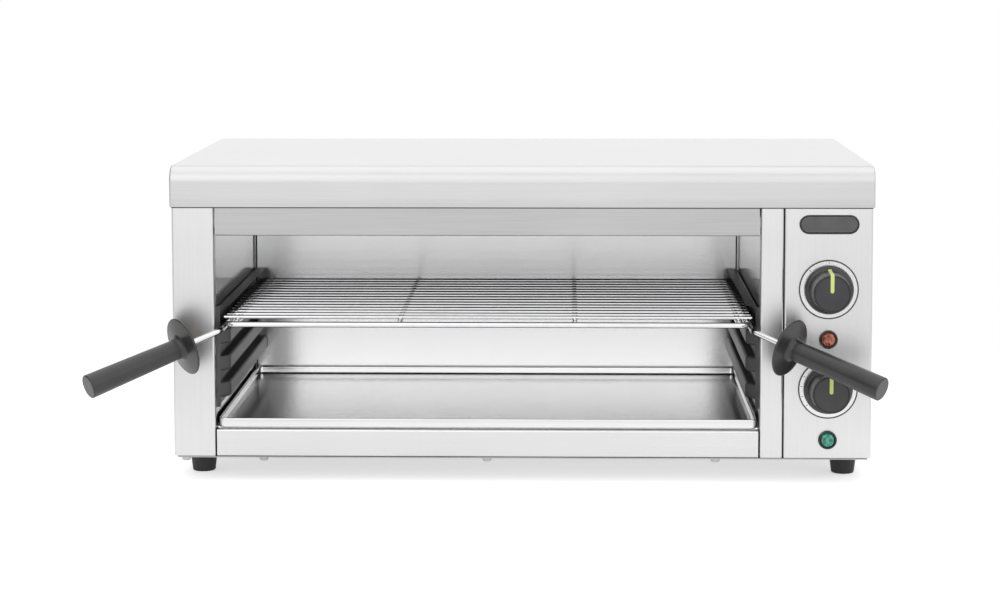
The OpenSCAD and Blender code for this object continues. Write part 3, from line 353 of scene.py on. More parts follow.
def rounded(points: Sequence[Point], radius: float | Sequence[float], steps: int = 8,
            closed: bool = False) -> list[Vector]:
    """Round the corners of a line in the plane or in space.

    Args:
        points: Corners of the line.
        radius: One bend radius, or one for each corner.
        steps: Short pieces in each arc.
        closed: Whether the last corner joins the first.

    Returns:
        The line's points, with an arc at each corner that has a radius.
    """
    corners = [Vector(tuple(p) + (0.0,) * (3 - len(p))) for p in points]
    count = len(corners)
    line: list[Vector] = []
    for i, corner in enumerate(corners):
        r = radius[i] if isinstance(radius, (list, tuple)) else radius
        if (not closed and i in (0, count - 1)) or r <= 0:
            line.append(corner)
            continue
        before = unit(corners[i - 1] - corner)
        after = unit(corners[(i + 1) % count] - corner)
        turn = pi - before.angle(after)
        if turn < 1e-3:
            line.append(corner)
            continue
        trim = r * tan(turn / 2)
        middle = corner + unit(before + after) * (r / cos(turn / 2))
        start = corner + before * trim - middle
        axis = unit(start.cross(corner + after * trim - middle))
        line += [middle + Matrix.Rotation(turn * k / steps, 3, axis) @ start for k in range(steps + 1)]
    return line


@dataclass
class Shape:
    """A mesh in the making, in millimetres."""

    verts: list[Vector] = field(default_factory=list)
    faces: list[tuple[int, ...]] = field(default_factory=list)

    def add(self, other: "Shape", move: Matrix | None = None) -> "Shape":
        """Take in another shape, moved by a matrix, and return this one."""
        first = len(self.verts)
        self.verts += [move @ v if move else v.copy() for v in other.verts]
        self.faces += [tuple(first + i for i in face) for face in other.faces]
        return self

    def moved(self, *moves: Matrix) -> "Shape":
        """Return one shape with a copy moved by each matrix."""
        whole = Shape()
        for move in moves:
            whole.add(self, move)
        return whole

    def piece(self, name: str, finish: Finish, node: str = "", body: str = "casing", crease: float = 32.0,
              edge: float = 0.0) -> bpy.types.Object:
        """Turn the shape into a scene object that rides on a CAD body.

        Args:
            name: Object name.
            finish: Surface finish.
            node: CAD node that the piece replaces, if any.
            body: CAD body that the piece rides on.
            crease: Angle in degrees above which an edge stays sharp.
            edge: Width in millimetres of the bevel along sharp edges, or 0 for none.

        Returns:
            The new object.
        """
        mesh = bpy.data.meshes.new(name)
        work = bmesh.new()
        made = [work.verts.new(v * MM) for v in self.verts]
        for face in self.faces:
            if len(set(face)) > 2 and work.faces.get([made[i] for i in face]) is None:
                work.faces.new([made[i] for i in face])
        bmesh.ops.remove_doubles(work, verts=work.verts, dist=1e-7)
        bmesh.ops.recalc_face_normals(work, faces=work.faces)
        work.to_mesh(mesh)
        work.free()
        mesh.shade_smooth()
        mesh.set_sharp_from_angle(angle=radians(crease))
        mesh.materials.append(finish.material())
        thing = shown(name, mesh)
        if edge > 0:
            bevel = thing.modifiers.new("edges", "BEVEL")
            bevel.width, bevel.segments, bevel.limit_method = edge * MM, 2, "ANGLE"
            bevel.angle_limit = radians(50)
        thing.modifiers.new("normals", "WEIGHTED_NORMAL").keep_sharp = True
        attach(thing, body)
        if node:
            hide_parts(node)
        log.info("%s: %d faces, on %s, for %s", name, len(mesh.polygons), body, node or "no node")
        return thing


def shown(name: str, data: bpy.types.ID) -> bpy.types.Object:
    """Put the data into the scene as an object and return it."""
    thing = bpy.data.objects.new(name, data)
    bpy.context.scene.collection.objects.link(thing)
    return thing


def placed(at: Point, degrees: float = 0.0, axis: str = "X") -> Matrix:
    """Return the matrix that turns a shape about an axis and then moves it to a place."""
    return Matrix.Translation(at) @ Matrix.Rotation(radians(degrees), 4, axis)


def on_panel(z: float, lift: float = 0.0) -> Matrix:
    """Return the matrix that seats a shape on the control panel, its Z axis towards the viewer."""
    return placed((CONTROL_X, FRONT_Y - lift, z), 90)


def loft(rings: Sequence[Sequence[Vector]], closed: bool = True, caps: bool = True) -> Shape:
    """Join outlines of equal length into a skin.

    Args:
        rings: Outlines, one after the other.
        closed: Whether each outline is a loop.
        caps: Whether the first and the last loop get a face.

    Returns:
        The skin.
    """
    count = len(rings[0])
    shape = Shape([Vector(v) for ring in rings for v in ring])
    for i in range(len(rings) - 1):
        for j in range(count if closed else count - 1):
            k = (j + 1) % count
            shape.faces.append((i * count + j, i * count + k, (i + 1) * count + k, (i + 1) * count + j))
    if caps and closed:
        shape.faces.append(tuple(range(count)))
        shape.faces.append(tuple((len(rings) - 1) * count + j for j in range(count)))
    return shape


def turned(profile: Sequence[Point | Vector], sides: int = 96) -> Shape:
    """Turn a half outline of radius and height about the Z axis."""
    rings = [[Vector((p[0] * cos(a), p[0] * sin(a), p[1])) for p in profile] for a in angles(sides)]
    return loft(rings + rings[:1], closed=False)


def rod(path: Sequence[Point | Vector], radius: float, sides: int = 24, closed: bool = False,
        dome: float = 0.0) -> Shape:
    """Draw a round bar along a line.

    Args:
        path: Points of its centre line.
        radius: Radius of the bar.
        sides: Sides of its cross-section.
        closed: Whether the bar is an endless ring.
        dome: Length of the rounding at each free end.

    Returns:
        The bar.
    """
    points = [Vector(p) for p in path]
    count = len(points)
    across = unit(points[1] - points[0]).orthogonal().normalized()
    rings = []
    for i, point in enumerate(points):
        ahead = points[(i + 1) % count] if closed or i < count - 1 else point
        behind = points[i - 1] if closed or i > 0 else point
        way = unit(ahead - behind)
        across = unit(across - across.dot(way) * way)
        other = way.cross(across)
        ring = [point + radius * (cos(t) * across + sin(t) * other) for t in angles(sides)]
        if dome > 0 and i in (0, count - 1):
            side = 1 if i else -1
            ends = [[point + (v - point) * cos(t) + way * side * dome * (sin(t) - 1) for v in ring]
                    for t in (0.0, 0.5, 1.0, 1.4)]
            rings += ends if i else ends[::-1]
        else:
            rings.append(ring)
    if closed:
        # The frame turns a little on its way round, so the last ring is matched by its nearest corner
        shift = min(range(sides), key=lambda s: (rings[-1][s] - rings[0][0]).length)
        rings.append(rings[0][-shift:] + rings[0][:-shift] if shift else rings[0])
    return loft(rings, caps=not closed)


def folded(path: Sequence[Point], thick: float, bend: float, low: float, high: float, axes: str) -> Shape:
    """Fold a sheet of metal along a line seen edge-on and draw it out.

    Args:
        path: Middle line of the sheet in its own plane.
        thick: Thickness of the sheet.
        bend: Radius of the middle line in each fold.
        low: Start of the drawn-out length.
        high: End of the drawn-out length.
        axes: Names of the path's two axes and of the length's, such as xyz.

    Returns:
        The folded sheet.
    """
    line = rounded(path, bend)
    left, right = [], []
    for i, p in enumerate(line):
        way = unit(line[min(i + 1, len(line) - 1)] - line[max(i - 1, 0)])
        side = Vector((-way.y, way.x, 0.0)) * thick / 2
        left.append(p + side)
        right.append(p - side)
    outline = left + right[::-1]
    order = ["xyz".index(a) for a in axes]

    def at(p: Vector, length: float) -> Vector:
        values = [0.0, 0.0, 0.0]
        for place, value in zip(order, (p.x, p.y, length)):
            values[place] = value
        return Vector(values)

    shape = loft([[at(p, low) for p in outline], [at(p, high) for p in outline]], caps=False)
    count = len(outline)
    for first in (0, count):
        for i in range(len(line) - 1):
            shape.faces.append((first + i, first + i + 1, first + count - 2 - i, first + count - 1 - i))
    return shape


def slab(outline: Sequence[Point | Vector], low: float, high: float) -> Shape:
    """Raise a flat outline from one height to another along Z."""
    return loft([[Vector((p[0], p[1], z)) for p in outline] for z in (low, high)])


def pill(width: float, height: float, radius: float, steps: int = 10) -> list[Vector]:
    """Return the outline of a rectangle with round corners, centred on the origin."""
    w, h = width / 2, height / 2
    return rounded([(-w, -h), (w, -h), (w, h), (-w, h)], min(radius, w - 0.01, h - 0.01), steps, closed=True)


def screw(radius: float, height: float, length: float) -> Shape:
    """Build a screw with a domed pan head and a cross recess.

    Args:
        radius: Radius of the head.
        height: Height of the head.
        length: Length of the shank.

    Returns:
        The screw, the head's seat on z = 0 and its axis along Z.
    """
    reaches = (1.0, 1.0, 0.97, 0.9, 0.8, 0.7, 0.6, 0.5, 0.4, 0.3, 0.2, 0.1)
    heights = (0.0, 0.35, 0.55, 0.72, 0.84, 0.91, 0.95, 0.97, 0.985, 0.993, 0.998, 1.0)
    loops = []
    for r, h in zip(reaches, heights):
        loop = []
        for a in angles(48):
            x, y = r * radius * cos(a), r * radius * sin(a)
            recessed = min(abs(x), abs(y)) < 0.13 * radius and r < 0.66
            loop.append(Vector((x, y, h * height - (0.45 * height if recessed else 0.0))))
        loops.append(loop)
    return loft(loops).add(turned([(0.0, -length), (CORE_R, -length), (CORE_R, 0.0)], 24))


# ---- Casing ----


@dataclass
class Cover:
    """Lid folded from one sheet, with a rolled front edge and a skirt all round."""

    x0: float = -275.0
    x1: float = 335.0
    y0: float = FRONT_Y - 1.5
    y1: float = BACK_Y + 1.5
    z0: float = LIP_Z
    z1: float = 276.5
    roll: float = 14.0
    edge: float = 1.5
    sheet: float = 1.0
    shadow_strip_inset: float = 1.6
    screw_xs: tuple[float, ...] = (-213.5, 30.0, 273.5)
    screw_z: float = LIP_Z + 13.85

    def outline(self, inset: float) -> list[tuple[float, float]]:
        """Return the lid's side outline as y and z, from the front lip to the rear one, drawn in by inset."""
        roll_y, roll_z = self.y0 + self.roll, self.z1 - self.roll
        edge_y, edge_z = self.y1 - self.edge, self.z1 - self.edge
        line = [(self.y0 + inset, self.z0), (self.y0 + inset, self.z0 + 8.0)]
        for k in range(17):
            a = pi * (1 - k / 32)
            reach = self.roll - inset
            line.append((roll_y + reach * cos(a), roll_z + reach * sin(a)))
        for k in range(1, 6):
            line.append((roll_y + (self.y1 - self.y0 - self.roll - self.edge) * k / 5, self.z1 - inset))
        for k in range(1, 5):
            a = pi / 2 * (1 - k / 4)
            reach = max(self.edge - inset, 0.0)
            line.append((edge_y + reach * cos(a), edge_z + reach * sin(a)))
        line.append((self.y1 - inset, self.z0))
        return line

    def build(self) -> None:
        """Build the lid, a dark strip under its lip that paints the lip's shadow, and the screws in its rear
        skirt.
        """
        places = []
        for k in range(5):
            a = pi / 2 * k / 4
            places.append((self.x0 + self.edge * (1 - sin(pi / 2 - a)), self.edge * (1 - sin(a))))
        stations = places + [(self.x0 + self.edge + (self.x1 - self.x0 - 2 * self.edge) * k / 12, 0.0)
                             for k in range(1, 12)]
        stations += [(self.x0 + self.x1 - x, inset) for x, inset in reversed(places)]
        rings = [[Vector((x, y, z)) for y, z in self.outline(inset)] for x, inset in stations]
        shell = loft(rings, closed=False)
        count = len(rings[0])
        for first in (0, (len(rings) - 1) * count):
            shell.faces.append(tuple(first + k for k in range(count)))
        lid = shell.piece("rolled_edge_cover", COVER_STEEL, "top_cover")
        skin = lid.modifiers.new("sheet", "SOLIDIFY")
        skin.thickness, skin.offset, skin.use_even_offset = self.sheet * MM, -1.0, True
        lid.modifiers.move(len(lid.modifiers) - 1, 0)
        # A dark strip under the lip paints the lip's shadow on the fascia and posts
        x0, x1 = self.x0 + self.shadow_strip_inset, self.x1 - self.shadow_strip_inset
        y0, y1 = FRONT_Y - 0.85, FRONT_Y - 0.02
        slab([(x0, y0), (x1, y0), (x1, y1), (x0, y1)], self.z0 - 0.9, self.z0 + 0.1).piece(
            "painted_shadow_strip_under_the_lip", LIP_SHADOW_STRIP)
        heads = screw(3.8, 2.6, 9.0).moved(*(placed((x, self.y1, self.screw_z), -90) for x in self.screw_xs))
        heads.piece("cover_screw_heads", SCREW_STEEL, "cover_screws", crease=40)


@dataclass
class Casing:
    """Posts, rails, side sheets and base below the cover."""

    left_x: float = -273.5
    right_x: float = 333.5
    right_post_w: float = 19.8
    panel_x0: float = 257.6
    return_y: float = FRONT_Y + 10.0
    flange_y: float = FRONT_Y + 14.0
    side_return: float = 16.0
    crossbar_return: float = 4.0
    fascia_return: float = 6.0
    top_z: float = 259.0
    fascia_z: float = 216.0
    crossbar_z: float = 46.0
    rail_gap: float = 1.1
    sheet: float = 1.0
    bend: float = 1.3
    base_screw_xs: tuple[float, ...] = (-263.5, -195.5, 0.0, 199.0)
    base_screw_ys: tuple[float, ...] = (FRONT_Y + 5.0, FRONT_Y + 305.5)
    base_z: float = 21.0
    rear_screw_inset: float = 8.0
    rear_screw_zs: tuple[float, ...] = (38.0, 131.0, 224.0)

    def build(self) -> None:
        """Build the folded sheets and the screws under the base and in the rear panel."""
        t = self.sheet / 2
        front, rear, foot_y = FRONT_Y + t, BACK_Y - 3 * t, self.return_y + self.crossbar_return
        inner, outer = HALF_W + t, HALF_W + self.right_post_w - t
        panel, left, right = self.panel_x0 + t, self.left_x + t, self.right_x - t
        fascia, low, high = self.fascia_z + t, BASE_TOP_Z + t, self.crossbar_z - t
        upright = (PANEL_Z0, self.top_z, "xyz")
        across = (-HALF_W + self.rail_gap, HALF_W - self.rail_gap, "yzx")
        sheets = (
            ("left_post_and_side", POST_STEEL, "left_side_panel", upright,
             [(-inner, self.return_y), (-inner, front), (left, front), (left, rear),
              (self.left_x + self.side_return, rear)]),
            ("folded_right_post", POST_STEEL, "right_post", upright,
             [(inner, self.return_y), (inner, front), (outer, front), (outer, self.flange_y)]),
            ("folded_control_panel", POST_STEEL, "control_panel", upright,
             [(panel, self.flange_y), (panel, front), (right, front), (right, self.flange_y)]),
            ("folded_fascia", FASCIA_STEEL, "upper_fascia", across,
             [(self.return_y, fascia + self.fascia_return), (self.return_y, fascia), (front, fascia),
              (front, self.top_z)]),
            ("folded_crossbar", CROSSBAR_STEEL, "lower_crossbar", across,
             [(foot_y, low), (front, low), (front, high), (foot_y, high)]),
        )
        for name, finish, node, drawn, path in sheets:
            folded(path, self.sheet, self.bend, *drawn).piece(name, finish, node, edge=0.15)
        under = screw(4.0, 3.4, 7.0).moved(*(placed((x, y, self.base_z), 180) for x in self.base_screw_xs
                                             for y in self.base_screw_ys))
        under.piece("domed_base_screws", SCREW_STEEL, "base_screws", crease=40)
        sides = (self.left_x + self.rear_screw_inset, self.right_x - self.rear_screw_inset)
        behind = screw(3.4, 2.2, 8.0).moved(*(placed((x, BACK_Y, z), -90) for x in sides
                                              for z in self.rear_screw_zs))
        behind.piece("rear_panel_screw_heads", SCREW_STEEL, "rear_panel_screws", crease=40)


@dataclass
class Feet:
    """Four tapered rubber feet, recessed under their screws."""

    xs: tuple[float, float] = (-254.5, 314.5)
    ys: tuple[float, float] = (FRONT_Y + 49.0, FRONT_Y + 278.0)
    height: float = 21.0
    top_r: float = 12.5
    floor_r: float = 10.0
    recess_r: float = 6.0
    hole_r: float = 2.7

    def build(self) -> None:
        """Build each foot as its own piece."""
        recess = self.height * 0.55
        profile = rounded([(self.recess_r, recess), (self.recess_r, 0.0), (self.floor_r, 0.0),
                           (self.top_r, self.height), (self.hole_r, self.height), (self.hole_r, recess)],
                          [0, 0.5, 1.6, 0.5, 0, 0], 5)
        foot = turned(profile + profile[:1], 72)
        for y, depth in zip(self.ys, ("front", "rear")):
            for x, side in zip(self.xs, ("left", "right")):
                node = f"{depth}_{side}_foot"
                foot.moved(placed((x, y, 0.0))).piece("rubber_" + node, FOOT_RUBBER, node)


# ---- Cavity ----


@dataclass
class CavityFittings:
    """Rack guides, heating tubes and crumb tray inside the opening."""

    rest_z: float = 131.8
    rib_pitch: float = 23.6
    rib_h: float = 13.2
    rib_depth: float = 11.0
    ribs: int = 3
    groove_top: float = 20.0
    front_y: float = FRONT_Y + 11.3
    back_y: float = FRONT_Y + 282.5
    strip_w: float = 3.0
    fold_r: float = 2.6
    end_slope: float = 12.5
    sheet: float = 0.8
    tube_r: float = 3.25
    tube_z: float = 231.0
    tube_leg: float = 34.0
    tube_pitch: float = 80.0
    tube_mid_y: float = FRONT_Y + 147.75
    tray_w: float = 470.0
    tray_d: float = 278.0
    tray_y0: float = FRONT_Y + 4.0
    tray_z0: float = 47.1
    rim_z: float = 54.9

    def guide(self, side: int) -> Shape:
        """Return one side's guide.

        Args:
            side: -1 for the left wall and 1 for the right.

        Returns:
            One sheet folded into ribs and grooves, with its front strip.
        """
        t, inner = self.sheet, self.rib_depth
        top = self.rest_z + self.groove_top + t
        path = [(inner, top), (t, top)]
        for i in range(self.ribs):
            z = self.rest_z - i * self.rib_pitch
            path += [(t, z), (inner, z), (inner, z - self.rib_h), (t, z - self.rib_h)]
        low = path[-1][1] - 8.0
        line = rounded(path + [(t, low)], self.fold_r)
        # The ribs rise out of the flat front strip on a slope with soft ends
        slope = ((0.0, 0.0), (0.06, 0.03), (0.14, 0.1), (0.86, 0.9), (0.94, 0.97), (1.0, 1.0))
        stations = [(self.end_slope * k, rise) for k, rise in slope] + [(self.back_y - self.front_y, 1.0)]
        rings = [[Vector((HALF_W - t - (p.x - t) * max(rise, 0.02), self.front_y + y, p.y)) for p in line]
                 for y, rise in stations]
        edge = ((self.strip_w, 2.4), (0.05, -t), (0.05, 0.2), (t, 2.6))
        strip = slab([(HALF_W - x, self.front_y + y) for x, y in edge], low, top)
        return loft(rings, closed=False).add(strip).moved(Matrix.Scale(side, 4, (1, 0, 0)))

    def build(self) -> None:
        """Build guides, tubes, terminals, the dark corner strips that paint the shade of the corner gaps, and
        tray.
        """
        for side, node in ((-1, "rack_guide_left"), (1, "rack_guide_right")):
            self.guide(side).piece("pressed_" + node, GUIDE_STEEL, node)
        self.heat()
        # Dark strips in the back corners paint the shade of the gaps between the side walls and the back
        corner_shadow_strips = Shape()
        for side in (-1, 1):
            corner = ((236.1, 282.9), (234.9, 284.9), (236.1, 284.9))
            corner_shadow_strips.add(slab([(side * x, FRONT_Y + y) for x, y in corner], 48.0, 243.0))
        corner_shadow_strips.piece("painted_corner_shadow_strips", CORNER_SHADOW_STRIP)
        self.tray()

    def heat(self) -> None:
        """Build the hairpin heating tubes and the ceramic bushes at their ends."""
        tubes, studs = Shape(), Shape()
        x0, x1 = -HALF_W + 22.0, HALF_W + 29.5
        bush = turned(rounded([(0.0, 0.0), (4.25, 0.0), (4.25, 6.0), (1.8, 6.0), (1.8, 14.0), (0.0, 14.0)],
                              [0, 0.4, 0.5, 0.2, 0.4, 0], 4), 32)
        for i in (-1, 0, 1):
            y = self.tube_mid_y + i * self.tube_pitch - self.tube_leg / 2
            legs = (y, y + self.tube_leg)
            hairpin = [(x1, y, self.tube_z), (x0, y, self.tube_z), (x0, legs[1], self.tube_z),
                       (x1, legs[1], self.tube_z)]
            tubes.add(rod(rounded(hairpin, self.tube_leg / 2 - 0.01, 12), self.tube_r))
            studs.add(bush.moved(*(placed((x1, leg, self.tube_z), 90, "Y") for leg in legs)))
        tubes.piece("sheathed_heating_tubes", ELEMENT_SHEATH, "heating_elements")
        studs.piece("ceramic_bushes", STEATITE, "element_terminals")

    def tray(self) -> None:
        """Build the pressed crumb tray with its hemmed rim."""
        z0, rim = self.tray_z0, self.rim_z
        centre = Vector((0.0, self.tray_y0 + self.tray_d / 2, 0.0))
        # Inset from the tray's outline and height, from the bottom's edge up the hem and down to the floor
        section = ((0.5, z0), (0.0, z0 + 0.6), (0.0, z0 + 1.4), (0.0, rim - 0.9), (0.35, rim - 0.2),
                   (1.2, rim), (2.05, rim - 0.2), (2.4, rim - 0.9), (2.4, rim - 1.7), (1.6, rim - 1.8),
                   (0.9, rim - 2.0), (0.9, z0 + 2.2), (1.2, z0 + 1.3), (2.0, z0 + 0.85), (4.0, z0 + 0.8),
                   (60.0, z0 + 0.8))
        rings = []
        for inset, z in section:
            outline = pill(self.tray_w - 2 * inset, self.tray_d - 2 * inset, max(5.0 - inset, 2.0) + 0.3, 8)
            rings.append([centre + Vector((p.x, p.y, z)) for p in outline])
        loft(rings).piece("pressed_crumb_tray", TRAY_STEEL, "crumb_tray", "tray", crease=50)


# ---- Rack and handles ----


@dataclass
class Rack:
    """Welded wire rack: closed frame rod, cross rods and grid wires."""

    rod_r: float = 2.5
    wire_r: float = 1.6
    side_x: float = 230.0
    side_z: float = 134.6
    ring_x: float = 226.5
    ring_z: float = 137.957
    wire_z: float = 141.907
    front_y: float = FRONT_Y + 3.0
    back_y: float = FRONT_Y + 277.5
    corner_r: float = 7.0
    wire_half: float = 231.8
    first_wire: float = 18.0
    wire_pitch: float = 17.8
    wires: int = 15
    weld: float = 2.35

    def build(self) -> None:
        """Build the rods, the wires and the weld beads where they cross."""
        x, z, y0, y1 = self.ring_x, self.ring_z, self.front_y, self.back_y
        line = rounded([(x, y0, z), (x, y1, z), (-x, y1, z), (-x, y0, z)], self.corner_r, 10, closed=True)
        rod(line, self.rod_r, closed=True).piece("bent_frame_ring", RACK_CHROME, "rack_ring", "rack", crease=60)
        last = self.ring_x - self.corner_r
        cross_xs = (-last, -self.side_x / 3, self.side_x / 3, last)
        cross = Shape()
        for x in cross_xs:
            cross.add(rod([(x, y0 + self.weld, z), (x, y1 - self.weld, z)], self.rod_r))
            cross.add(self.bead(2.9, 1.5).moved(placed((x, y0 + 2.3, z)), placed((x, y1 - 2.3, z))))
        cross.piece("welded_cross_rods", RACK_CHROME, "rack_cross_rods", "rack", crease=60)
        grid = Shape()
        for i in range(self.wires):
            y = y0 + self.first_wire + i * self.wire_pitch
            grid.add(rod([(-self.wire_half, y, self.wire_z), (self.wire_half, y, self.wire_z)], self.wire_r,
                         16, dome=0.6))
            welds = (placed((x, y, self.wire_z - self.wire_r)) for x in cross_xs)
            grid.add(self.bead(1.9, 1.2).moved(*welds))
        grid.piece("grid_wires", RACK_CHROME, "rack_wires", "rack", crease=60)

    @staticmethod
    def bead(radius: float, height: float) -> Shape:
        """Return a small flattened weld bead about the origin."""
        half = (-1.5, -1.0, -0.4, 0.0, 0.4, 1.0, 1.5)
        return turned([(radius * cos(a), height * sin(a)) for a in half], 16)


@dataclass
class Handle:
    """One side rod that runs on in front as a bent shank, with its guard and grip."""

    side: int
    swing: float = 55.8
    droop: float = 20.0
    bend_r: float = 9.0
    lead: float = 5.0
    shank: float = 32.0
    grip_l: float = 94.5
    root_r: float = 8.8
    end_r: float = 10.4
    guard_r: float = 25.6
    rim_t: float = 2.2
    guard_t: float = 4.6
    insert_l: float = 22.0

    def plane(self) -> Matrix:
        """Return the matrix of the handle's plane, turned about the side rod."""
        start = placed((Rack.side_x, FRONT_Y - self.lead, Rack.side_z), self.droop, "Y")
        return Matrix.Scale(self.side, 4, (1, 0, 0)) @ start

    def axis(self) -> Vector:
        """Return the shank's direction in the handle's plane."""
        return Vector((sin(radians(self.swing)), -cos(radians(self.swing)), 0.0))

    def bend_end(self) -> Vector:
        """Return where the bend ends and the shank goes on straight."""
        a = radians(self.swing)
        return Vector((self.bend_r * (1 - cos(a)), -self.bend_r * sin(a), 0.0))

    def build(self) -> None:
        """Build rod, grip and brass insert."""
        word = "left" if self.side < 0 else "right"
        corner = self.bend_r * tan(radians(self.swing) / 2)
        length = Rack.back_y - FRONT_Y + self.lead
        tip = tuple(self.bend_end() + (self.shank + self.insert_l) * self.axis())
        line = rounded([(0.0, length, 0.0), (0.0, -corner, 0.0), tip], self.bend_r, 14)
        rod(line, Rack.rod_r, dome=0.5).moved(self.plane()).piece(
            f"{word}_rod_and_shank", RACK_CHROME, f"{word}_handle_rod", "rack", crease=60)
        seat = (self.plane() @ Matrix.Translation(self.bend_end() + self.shank * self.axis())
                @ Matrix.Rotation(radians(self.swing), 4, "Z") @ Matrix.Rotation(radians(90), 4, "X"))
        guard, rim, thick, root = self.guard_r, self.rim_t, self.guard_t, self.root_r
        profile = rounded([(2.6, 0.9), (4.6, 0.9), (4.6, 0.0), (guard - 1.2, 0.0), (guard, rim / 2),
                           (guard - 0.6, rim), (root + 5.0, thick - 0.4), (root, thick),
                           (self.end_r, self.grip_l), (0.0, self.grip_l)],
                          [0, 0.1, 0.3, 0.4, 0.6, 0.6, 6.0, 4.6, 1.2, 0], 7)
        turned(profile).moved(seat).piece(f"{word}_moulded_grip", GRIP_PHENOLIC, f"{word}_grip", "rack",
                                          crease=45)
        bush = turned([(2.5, 0.0), (4.5, 0.0), (4.5, self.insert_l), (2.5, self.insert_l), (2.5, 0.0)], 32)
        bush.moved(seat @ Matrix.Translation((0, 0, 0.3))).piece(
            f"{word}_brass_insert", BRASS, f"{word}_insert", "rack")


# ---- Controls ----


@dataclass
class Knob:
    """Moulded knob with an inlaid pointer, over its printed dial plate."""

    word: str
    z: float
    marks: tuple[float, ...]
    skirt_r: float = 21.2
    cap_r: float = 17.2
    face_r: float = 16.2
    height: float = 28.5
    skirt_h: float = 6.0
    lift: float = 1.3
    hub_r: float = 5.4
    spindle_r: float = 3.0
    bore_h: float = 16.0
    pointer_w: float = 3.2
    pointer_r: float = 0.6
    dial_r: float = 25.8
    dial_t: float = 0.8
    dial_bore_r: float = 5.0
    edge_shade_w: float = 1.15
    mark_half: float = 0.28
    mark_r0: float = 22.3
    mark_r1: float = 23.9

    def outline(self) -> list[Vector]:
        """Return the half outline from the middle of the face to the skirt's foot."""
        face, cap, skirt, low, top = self.face_r, self.cap_r, self.skirt_r, self.skirt_h, self.height
        return rounded([(0.0, top - 0.25), (face - 1.7, top - 0.25), (face - 1.5, top - 0.9),
                        (face - 1.0, top - 0.9), (face - 0.8, top), (face, top), (cap, low + 1.4),
                        (cap + 0.9, low + 0.2), (skirt - 1.4, low - 0.4), (skirt, low * 0.45), (skirt, 0.0)],
                       [0, 0.1, 0.1, 0.1, 0.1, 0.75, 0.5, 0.5, 1.2, 0.8, 0], 6)

    def pointer(self) -> Shape:
        """Return the pointer, a band with a round end laid over the face and down its edge."""
        line = [p for p in self.outline() if p.x < self.cap_r + 1.0 and p.y > self.skirt_h
                and (p.x < 5.0 or p.x > self.face_r - 0.82)]
        line[0] = Vector((self.pointer_r, line[0].y, 0.0))
        round_end = (0.0, 0.25, 0.6, 1.1, 1.8)
        dense = [line[0] + Vector((d, 0, 0)) for d in round_end] + line[1:]
        half = self.pointer_w / 2
        rings = []
        for i, p in enumerate(dense):
            way = unit(dense[min(i + 1, len(dense) - 1)] - dense[max(i - 1, 0)])
            out = Vector((-way.y, way.x, 0.0))
            start = (p - dense[0]).length
            wide = sqrt(max(half * half - max(half - start, 0.0) ** 2, 0.09)) if i <= len(round_end) else half
            top, bevel, low = p + out * 0.28, p + out * 0.12, p - out * 0.9
            rings.append([Vector((x, q.x, q.y)) for x, q in
                          ((-wide, low), (-wide, bevel), (-wide + 0.25, top), (wide - 0.25, top),
                           (wide, bevel), (wide, low))])
        return loft(rings)

    def build(self) -> None:
        """Build knob, pointer, dial plate, its printed marks and the painted shade on the plate's edge."""
        seat, flat = on_panel(self.z, self.lift), on_panel(self.z)
        body = f"{self.word}_control"
        hub = [(self.skirt_r - 2.0, 0.0), (self.skirt_r - 2.2, 2.0), (self.hub_r, 3.0), (self.hub_r, 0.0),
               (self.spindle_r, 0.0), (self.spindle_r, self.bore_h), (0.0, self.bore_h)]
        turned(self.outline() + [Vector((r, h, 0.0)) for r, h in hub], 112).moved(seat).piece(
            f"{self.word}_moulded_knob", KNOB_NYLON, f"{self.word}_knob", body, crease=40)
        self.pointer().moved(seat).piece(
            f"{self.word}_inlaid_pointer", POINTER_ABS, f"{self.word}_pointer", body, crease=50)
        bore, rim, t = self.dial_bore_r, self.dial_r, self.dial_t
        plate = rounded([(bore, 0.0), (rim, 0.0), (rim, t), (bore, t), (bore, 0.0)], [0, 0, 0.35, 0, 0], 4)
        turned(plate, 128).moved(flat).piece(
            f"{self.word}_anodised_dial", DIAL_ALUMINIUM, f"{self.word}_dial_plate")
        # The dark ring over the plate's rim is painted shade on its edge; the ticks are print
        inner, outer, top = rim - self.edge_shade_w, rim + 0.05, t + 0.05
        ticks_and_edge_shade = turned([(inner, t - 0.2), (outer, t - 0.45), (outer, t - 0.1), (rim - 0.35, top), (inner, top),
                      (inner, t - 0.2)], 128)
        w, r0, r1 = self.mark_half, self.mark_r0, self.mark_r1
        tick = slab([(-w, r0), (w, r0), (w, r1), (-w, r1)], t - 0.1, top)
        for angle in self.marks:
            ticks_and_edge_shade.add(tick, Matrix.Rotation(radians(angle), 4, "Z"))
        ticks_and_edge_shade.moved(flat).piece(f"{self.word}_dial_ticks_and_edge_shade", DIAL_PRINT_AND_EDGE_SHADE)


